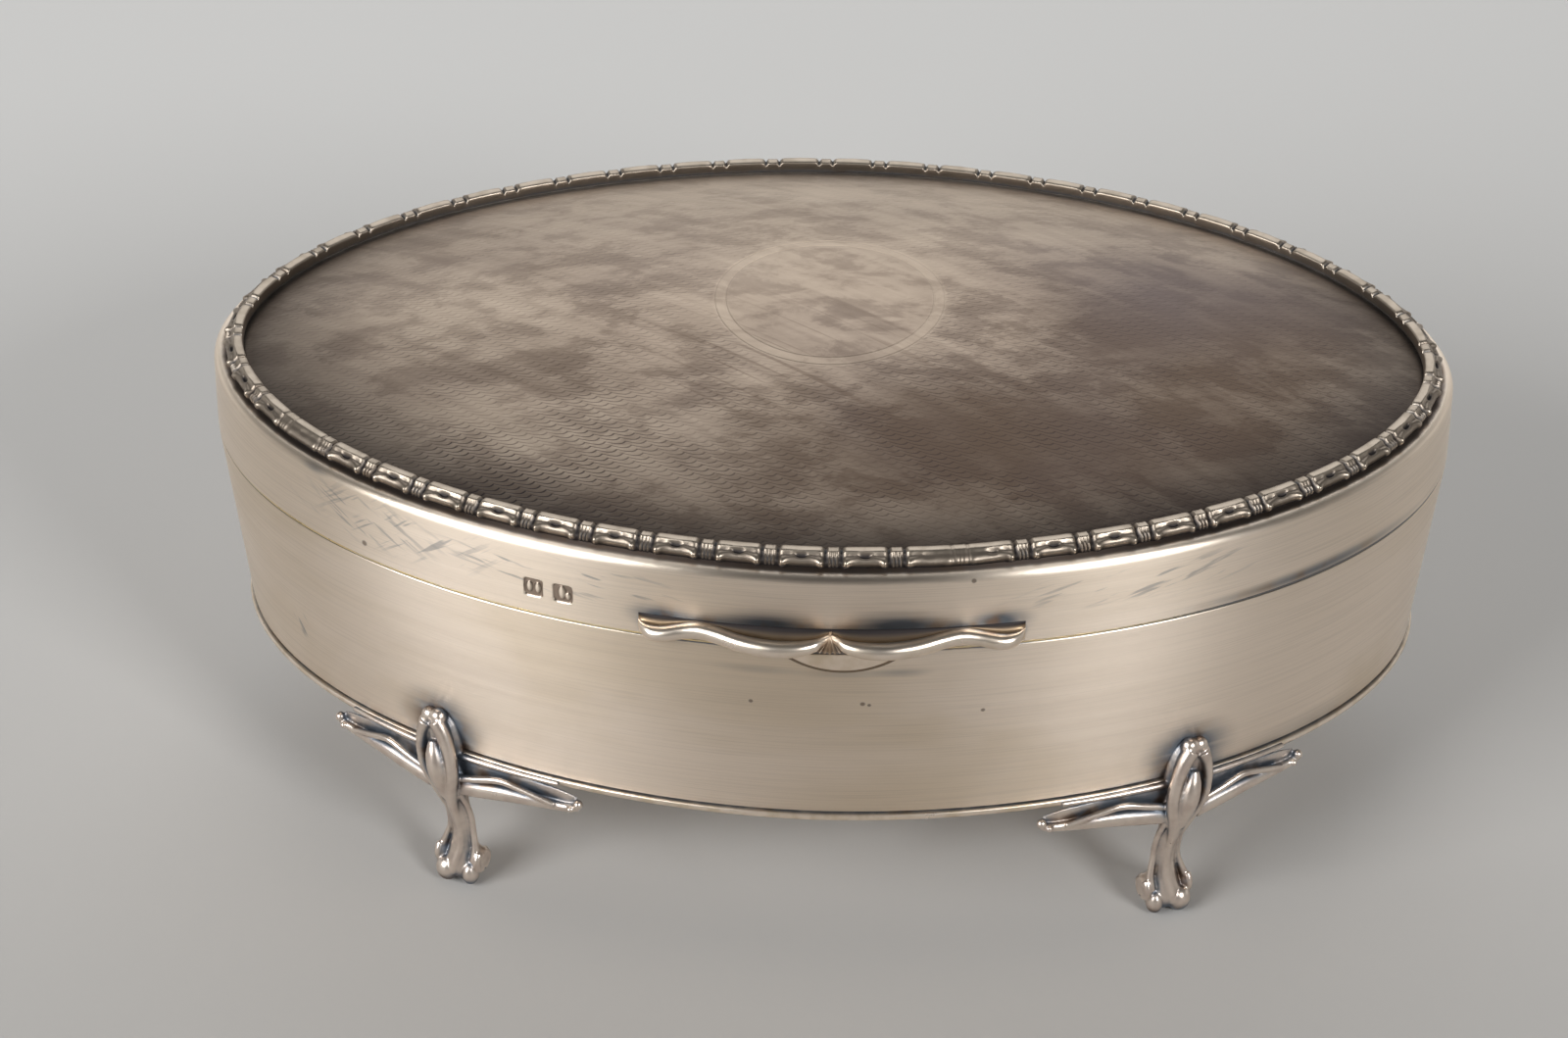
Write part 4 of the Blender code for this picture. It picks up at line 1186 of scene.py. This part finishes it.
def roughFoot():
    bm = bmesh.new()
    outward = ovalNormal(math.radians(foot["angle"] - 90))
    turn = math.atan2(outward.y, outward.x) + math.pi / 2

    def tube(knots, flatten=1.0, steps=6):
        path = curveThrough(knots, steps)
        tubeMesh(bm, [(footPlace(*place), radius * mm) for *place, radius in path], flatten)

    for name in ("core", "nearRim", "farRim", "leaf", "nearRib", "farRib"):
        tube(foot[name])
    for *place, size in foot["balls"]:
        ballMesh(bm, footPlace(*place), [v * mm for v in size], turn)
    coil = foot["voluteTurn"]
    for along, out, up in foot["volutes"]:
        inward = along - 0.3 * math.copysign(1, along)
        ballMesh(bm, footPlace(inward, out, up), (0.8 * mm, 1.7 * mm, 1.7 * mm), turn)
        knots = []
        for step in range(28):
            share = step / 27
            a = math.radians(60) - share * coil["turns"] * math.tau
            far = coil["start"] + (coil["end"] - coil["start"]) * share
            knots.append((along, out + far * math.cos(a), up + far * math.sin(a), coil["wire"]))
        tube(knots, steps=1)
    for reach in (-foot["nearReach"], foot["farReach"]):
        for name, flatten in (("band", 0.8), ("scroll", 1.0), ("upperRib", 1.0), ("web", 0.25)):
            tube([(share * reach, out, up, radius) for share, out, up, radius in foot[name]], flatten)
        for share, out, up, radius in foot["tip"]:
            ballMesh(bm, footPlace(share * reach, out, up), [radius * mm] * 3, turn)
    return plainObject("footRough", bm)


def buildFeet(finishes):
    model = roughFoot()
    melt = model.modifiers.new("Melt", "REMESH")
    melt.mode = "VOXEL"
    melt.voxel_size = foot["voxel"] * mm
    relax = model.modifiers.new("Relax", "SMOOTH")
    relax.iterations = 5
    seat = seatCutter()
    cut = model.modifiers.new("Seat", "BOOLEAN")
    cut.object = seat
    ground = floorCutter()
    sole = model.modifiers.new("Sole", "BOOLEAN")
    sole.object = ground
    graph = bpy.context.evaluated_depsgraph_get()
    cast = bpy.data.meshes.new_from_object(model.evaluated_get(graph))
    for extra in (model, seat, ground):
        bpy.data.objects.remove(extra)
    for name, flip in (
        ("front_right", (1, 1)),
        ("front_left", (-1, 1)),
        ("back_right", (1, -1)),
        ("back_left", (-1, -1)),
    ):
        bm = bmesh.new()
        bm.from_mesh(cast)
        bm.transform(Matrix.Diagonal((*flip, 1, 1)))
        piece = newPiece("foot_" + name + "_cast", bm, finishes["feet"], "box", sharp=50)
        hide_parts("foot_" + name)
    print("feet built:", len(cast.polygons), "faces each")


def seatCutter():
    # the space of the base plate and the wall, which the feet are soldered to
    above = plateHigh.z + 20 * mm
    profile = [
        (plateEdge, plateLow.z, 0.0),
        (plateEdge, plateLow.z),
        (plateEdge, plateHigh.z),
        (wallInset(plateHigh.z), plateHigh.z),
        (wallInset(above), above),
        (plateEdge, above, 0.0),
    ]
    return plainObject("seatCutter", wrapped(profile, closed=False))


def floorCutter():
    bm = bmesh.new()
    bmesh.ops.create_cube(bm, size=1.0, matrix=Matrix.Translation((0, 0, -0.5)))
    return plainObject("floorCutter", bm)


# Hinge

hinge = {
    "knuckle": 1.3 * mm,
    "bore": 0.75 * mm,
    "pin": 0.6 * mm,
    "soft": 0.14 * mm,
    "height": 3.0 * mm,  # of each bearer
    "reach": 1.7 * mm,  # of the bearers' rear faces behind the axis
    "stop": 107.0,  # degrees at which those faces meet
    "sides": 64,
}


def turnedPiece(name, profile, middle, finish, body, node):
    # turned about the hinge's axis: profile of (place along it, radius), closed on itself
    turns = [math.tau * k / hinge["sides"] for k in range(hinge["sides"])]
    circle = [(math.cos(a), math.sin(a)) for a in turns]
    rings = []
    for along, radius in profile:
        rings.append([(middle + along, hingeY + radius * c, hingeZ + radius * s) for c, s in circle])
    piece = newPiece(name, skinned(rings, closeRows=True), finish, body)
    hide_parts(node)


def buildHinge(finishes):
    for name in ("body_left", "body_middle", "body_right", "lid_left", "lid_right"):
        low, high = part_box("knuckle_" + name)
        half = (high.x - low.x) / 2
        corners = [
            (-half, hinge["bore"], 0.06 * mm),
            (-half, hinge["knuckle"], hinge["soft"]),
            (half, hinge["knuckle"], hinge["soft"]),
            (half, hinge["bore"], 0.06 * mm),
        ]
        profile = softened(corners, hinge["soft"])
        body = "lid" if name.startswith("lid") else "box"
        label = "knuckle" + name.title().replace("_", "")
        middle = (low.x + high.x) / 2
        turnedPiece(label, profile, middle, finishes["hinge"], body, "knuckle_" + name)
    low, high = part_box("hinge_pin")
    half = (high.x - low.x) / 2
    sines = [math.sin(math.radians(a)) for a in (1, 20, 45, 70, 90)]
    domed = [(half - 0.3 * mm * sine ** 2, hinge["pin"] * sine) for sine in sines]
    profile = [(-along, radius) for along, radius in domed] + domed[::-1]
    middle = (low.x + high.x) / 2
    turnedPiece("hingePinWire", profile, middle, finishes["pin"], "box", "hinge_pin")
    buildBearers(finishes)
    print("hinge built")


def buildBearers(finishes):
    # each fills the wedge between the curved band and the straight row of knuckles
    lean = math.radians(hinge["stop"] / 2)
    clear = hinge["knuckle"] + gap
    for label, up in (("lid", 1), ("body", -1)):
        low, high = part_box("hinge_bearer_" + label)
        rows = []
        for step in range(61):
            x = low.x + (high.x - low.x) * step / 60
            band = -frontY(x) - hingeY
            reach = hinge["reach"]
            corners = [
                (band, gap / 2, 0.02 * mm),
                (band, hinge["height"], 0.02 * mm),
                (reach * 0.4, hinge["height"], 0.5 * mm),
                (reach, reach * math.tan(lean), 0.15 * mm),
            ]
            section = softened(corners, 0.1 * mm)
            start = math.degrees(lean)
            end = 180 - math.degrees(math.asin(gap / 2 / clear))
            for k in range(13):
                a = math.radians(start + (end - start) * k / 12)
                section.append((max(band, clear * math.cos(a)), clear * math.sin(a)))
            rows.append([(x, hingeY + y, hingeZ + up * z) for y, z in section])
        body = "lid" if label == "lid" else "box"
        bm = skinned(rows, caps=True)
        piece = newPiece("bearer" + label.title(), bm, finishes["hinge"], body, sharp=35)
        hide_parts("hinge_bearer_" + label)


# Linings

stuffing = {
    "around": 132,  # points round the oval
    "rings": 26,
    "pressure": 5.0,
    "frames": 20,
    "most": 1.2 * mm,  # that a point may move
    "spare": -0.02,  # negative: the cloth is larger than the shape it starts from
    "glued": 0.8 * mm,  # height over the back up to which it is held
    "start": 0.86,  # of the pad's thickness: the rest is left to the stuffing
    "clear": 0.3 * mm,  # inside the solid's outline
    "edge": 1.6 * mm,  # width of the rounded edge
    "backInset": 0.5 * mm,
}


def stuffed(piece, backZ, up, inset):
    # velvet blown up by cloth simulation over its padding, glued flat along its back
    mesh = piece.data
    before = [v.co.copy() for v in mesh.vertices]
    glued = piece.vertex_groups.new(name="glued")
    low = [v.index for v in mesh.vertices if (v.co.z - backZ) * up < stuffing["glued"]]
    glued.add(low, 1.0, "REPLACE")
    cloth = piece.modifiers.new("Stuffing", "CLOTH")
    cloth.settings.vertex_group_mass = "glued"
    cloth.settings.use_pressure = True
    cloth.settings.uniform_pressure_force = stuffing["pressure"]
    cloth.settings.shrink_min = stuffing["spare"]
    cloth.settings.effector_weights.gravity = 0.0
    cloth.point_cache.frame_start = 1
    cloth.point_cache.frame_end = stuffing["frames"]
    scene = bpy.context.scene
    for number in range(1, stuffing["frames"] + 1):
        scene.frame_set(number)
    graph = bpy.context.evaluated_depsgraph_get()
    blown = [v.co.copy() for v in piece.evaluated_get(graph).data.vertices]
    piece.modifiers.clear()
    scene.frame_set(1)
    for vert, start, end in zip(mesh.vertices, before, blown):
        move = end - start
        if move.length > stuffing["most"]:
            move *= stuffing["most"] / move.length
        vert.co = start + move
    far = ovalPoint(0.0, inset).x / halfLength
    for vert in mesh.vertices:
        # nothing goes past the pad's own outline or through the card behind it
        across = abs(vert.co.x / (halfLength * far))
        back = abs(vert.co.y / (halfWidth - inset))
        share = (across ** fullness + back ** fullness) ** (1 / fullness)
        if share > 1:
            vert.co.x /= share
            vert.co.y /= share
        if (vert.co.z - backZ) * up < 0:
            vert.co.z = backZ
    fine = piece.modifiers.new("Fine", "SUBSURF")
    fine.levels = fine.render_levels = 1
    mesh.shade_smooth()


def buildLinings(finishes):
    pads = {
        # height of its back and its front, inset of its outline, which way it faces, its body
        "base": (padLow.z, padHigh.z, halfLength - padHigh.x, 1, "box"),
        "lid": (lidPadHigh.z, lidPadLow.z, halfLength - lidPadHigh.x, -1, "lid"),
    }
    for label, (backZ, frontZ, outline, up, body) in pads.items():
        inset = outline + stuffing["clear"]
        backInset = inset + stuffing["backInset"]
        thick = (frontZ - backZ) * stuffing["start"]
        profile = [(backInset, backZ, 0.0), (backInset, backZ)]
        for step in range(9):
            a = math.radians(90 * step / 8)
            rise = thick * (0.25 + 0.45 * math.sin(a))
            profile.append((inset + stuffing["edge"] * (1 - math.cos(a)), backZ + rise))
        for share in np.linspace(0.94, 0.0, stuffing["rings"]):
            profile.append((inset, backZ + thick * (0.7 + 0.3 * (1 - share ** 2)), share))
        velvet = wrapped(profile, closed=False, angles=evenAngles(stuffing["around"]))
        piece = newPiece(label + "PadVelvet", velvet, finishes["velvet"], body)
        stuffed(piece, backZ, up, outline)
        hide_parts(label + "_pad")
    thick = 1.5 * mm
    lowInset = wallInset(liningLow.z) + sheet + gap
    highInset = wallInset(liningHigh.z) + sheet + gap
    section = softened(
        [
            (lowInset, liningLow.z),
            (highInset, liningHigh.z),
            (highInset + thick, liningHigh.z, 0.7 * mm),
            (lowInset + thick, liningLow.z),
        ],
        0.2 * mm,
    )
    piece = newPiece("wallLiningVelvet", wrapped(section), finishes["velvet"], "box")
    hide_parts("wall_lining")
    for name in ("base_card", "lid_card"):
        # the cards stay as the solids are
        node = frame["nodes"][name]
        node.data.materials.clear()
        node.data.materials.append(finishes["card"].material)
    print("linings built")


# Studio

studio = {
    "near": (0.335, 0.317, 0.3),  # grey of the floor in front of the box, darker: painted shade on the camera's side
    "far": (0.70, 0.68, 0.66),  # and behind it
    "reach": (-150 * mm, 260 * mm),  # where the one turns into the other
    # grey of the room by height: (sine of the height above the horizon, grey)
    "room": [(0.0, 0.85), (0.28, 0.8), (0.5, 0.16), (1.0, 0.1)],
    "behind": 1.0,  # strength of the room at the back
    "before": 0.22,  # and at the front
    "tint": (0.96, 0.985, 1.0),  # of the softboxes
    "lights": [
        # name, turn from the front, height in degrees, distance, size, watts
        ("leftSoftbox", -47, 31, 0.9, 0.48, 7.3),
        ("rightSoftbox", 40, 32, 0.9, 0.24, 4.5),
        ("topSoftbox", 180, 48, 1.1, 0.9, 3.6),
    ],
}


def outFrom(turn, height):
    # the direction out from the box, both angles in degrees: round from the front, up from level
    turn, height = math.radians(turn), math.radians(height)
    level = Vector((math.sin(turn), -math.cos(turn), 0)) * math.cos(height)
    return level + Vector((0, 0, math.sin(height)))


def lightFrom(name, turn, height, distance, size, watts):
    back = outFrom(turn, height)
    lamp = bpy.data.lights.new(name, "AREA")
    lamp.size = size
    lamp.energy = watts
    lamp.color = studio["tint"]
    holder = placed(name, lamp)
    holder.location = back * distance
    holder.rotation_euler = (-back).to_track_quat("-Z", "Y").to_euler()


def buildStudio():
    floorFinish = Finish("paleFloor")
    # the floor darkens towards the front: painted shade
    reach = floorFinish.ramp(floorFinish.y, *studio["reach"])
    paper = floorFinish.noise(floorFinish.stretched(900, 900, 900), detail=3)
    floorFinish.shade(
        Base_Color=floorFinish.mix(reach, studio["near"], studio["far"]),
        Roughness=0.75 + 0.1 * paper,
        Normal=floorFinish.bump(paper, 0.05 * mm, 0.2),
    )
    bm = bmesh.new()
    bmesh.ops.create_circle(bm, cap_ends=True, segments=96, radius=4.0)
    floor = plainObject("studioFloor", bm)
    floor.data.materials.append(floorFinish.material)
    world = bpy.data.worlds.new("studioAir")
    bpy.context.scene.world = world
    world.use_nodes = True
    air = Nodes(world.node_tree, "Generated")
    stops = [(height, (grey, grey, grey * 0.98)) for height, grey in studio["room"]]
    room = air.node("ShaderNodeValToRGB", {"stops": stops}, {"Fac": air.z})
    background = world.node_tree.nodes["Background"]
    air.feed(background.inputs["Color"], room)
    air.feed(background.inputs["Strength"], air.ramp(air.y, -0.6, 0.6, studio["before"], studio["behind"]))
    for light in studio["lights"]:
        lightFrom(*light)


# the photo's camera: degrees round and up, then millimetres, from the middle of the joint
view = {"turn": 3.54, "height": 36.0, "distance": 437.7, "lens": 77.0, "right": -5.84, "up": -13.2}


def buildCamera():
    back = outFrom(view["turn"], view["height"])
    turn = math.radians(view["turn"])
    right = Vector((math.cos(turn), math.sin(turn), 0))
    up = right.cross(-back)
    lens = bpy.data.cameras.new("photoView")
    lens.lens = view["lens"]
    camera = placed("photoView", lens)
    target = Vector((0, 0, hingeZ))
    camera.location = target + (back * view["distance"] + right * view["right"] + up * view["up"]) * mm
    camera.rotation_euler = (-back).to_track_quat("-Z", "Y").to_euler()
    bpy.context.scene.camera = camera
    bpy.context.scene.view_settings.view_transform = "Standard"


def kneeShadeAndTarnish():
    # tarnish and painted shade on the wall round the knees of the feet
    knee = footPlace(0.2, 0.0, 4.5) / mm
    corners = [(x, y) for x in (-knee.x, knee.x) for y in (-knee.y, knee.y)]
    return [((x, y, knee.z), (8.0, 7.0, 7.0), 1.3) for x, y in corners]


finishes = {
    "wall": satinFinish("bodySilver", {**wallLook, "stains": wallLook["stains"] + kneeShadeAndTarnish()}),
    "band": satinFinish("lidBandSilver", bandLook),
    "plate": castFinish("plateSilver", hingeLook),
    "lid": lidFinish(),
    "feet": castFinish("footSilver", feetLook),
    "border": castFinish("borderSilver", borderLook),
    "thumb": castFinish("thumbSilver", thumbLook),
    "hinge": castFinish("hingeSilver", hingeLook),
    "gilt": giltFinish(),
    "pin": wireFinish(),
    "card": cardFinish(),
    "velvet": velvetFinish(),
}
buildBody(finishes)
buildLid(finishes)
buildBorder(finishes)
buildThumbpiece(finishes)
buildSegment(finishes)
buildFeet(finishes)
buildHinge(finishes)
buildLinings(finishes)
buildStudio()
buildCamera()

print("scene ready")
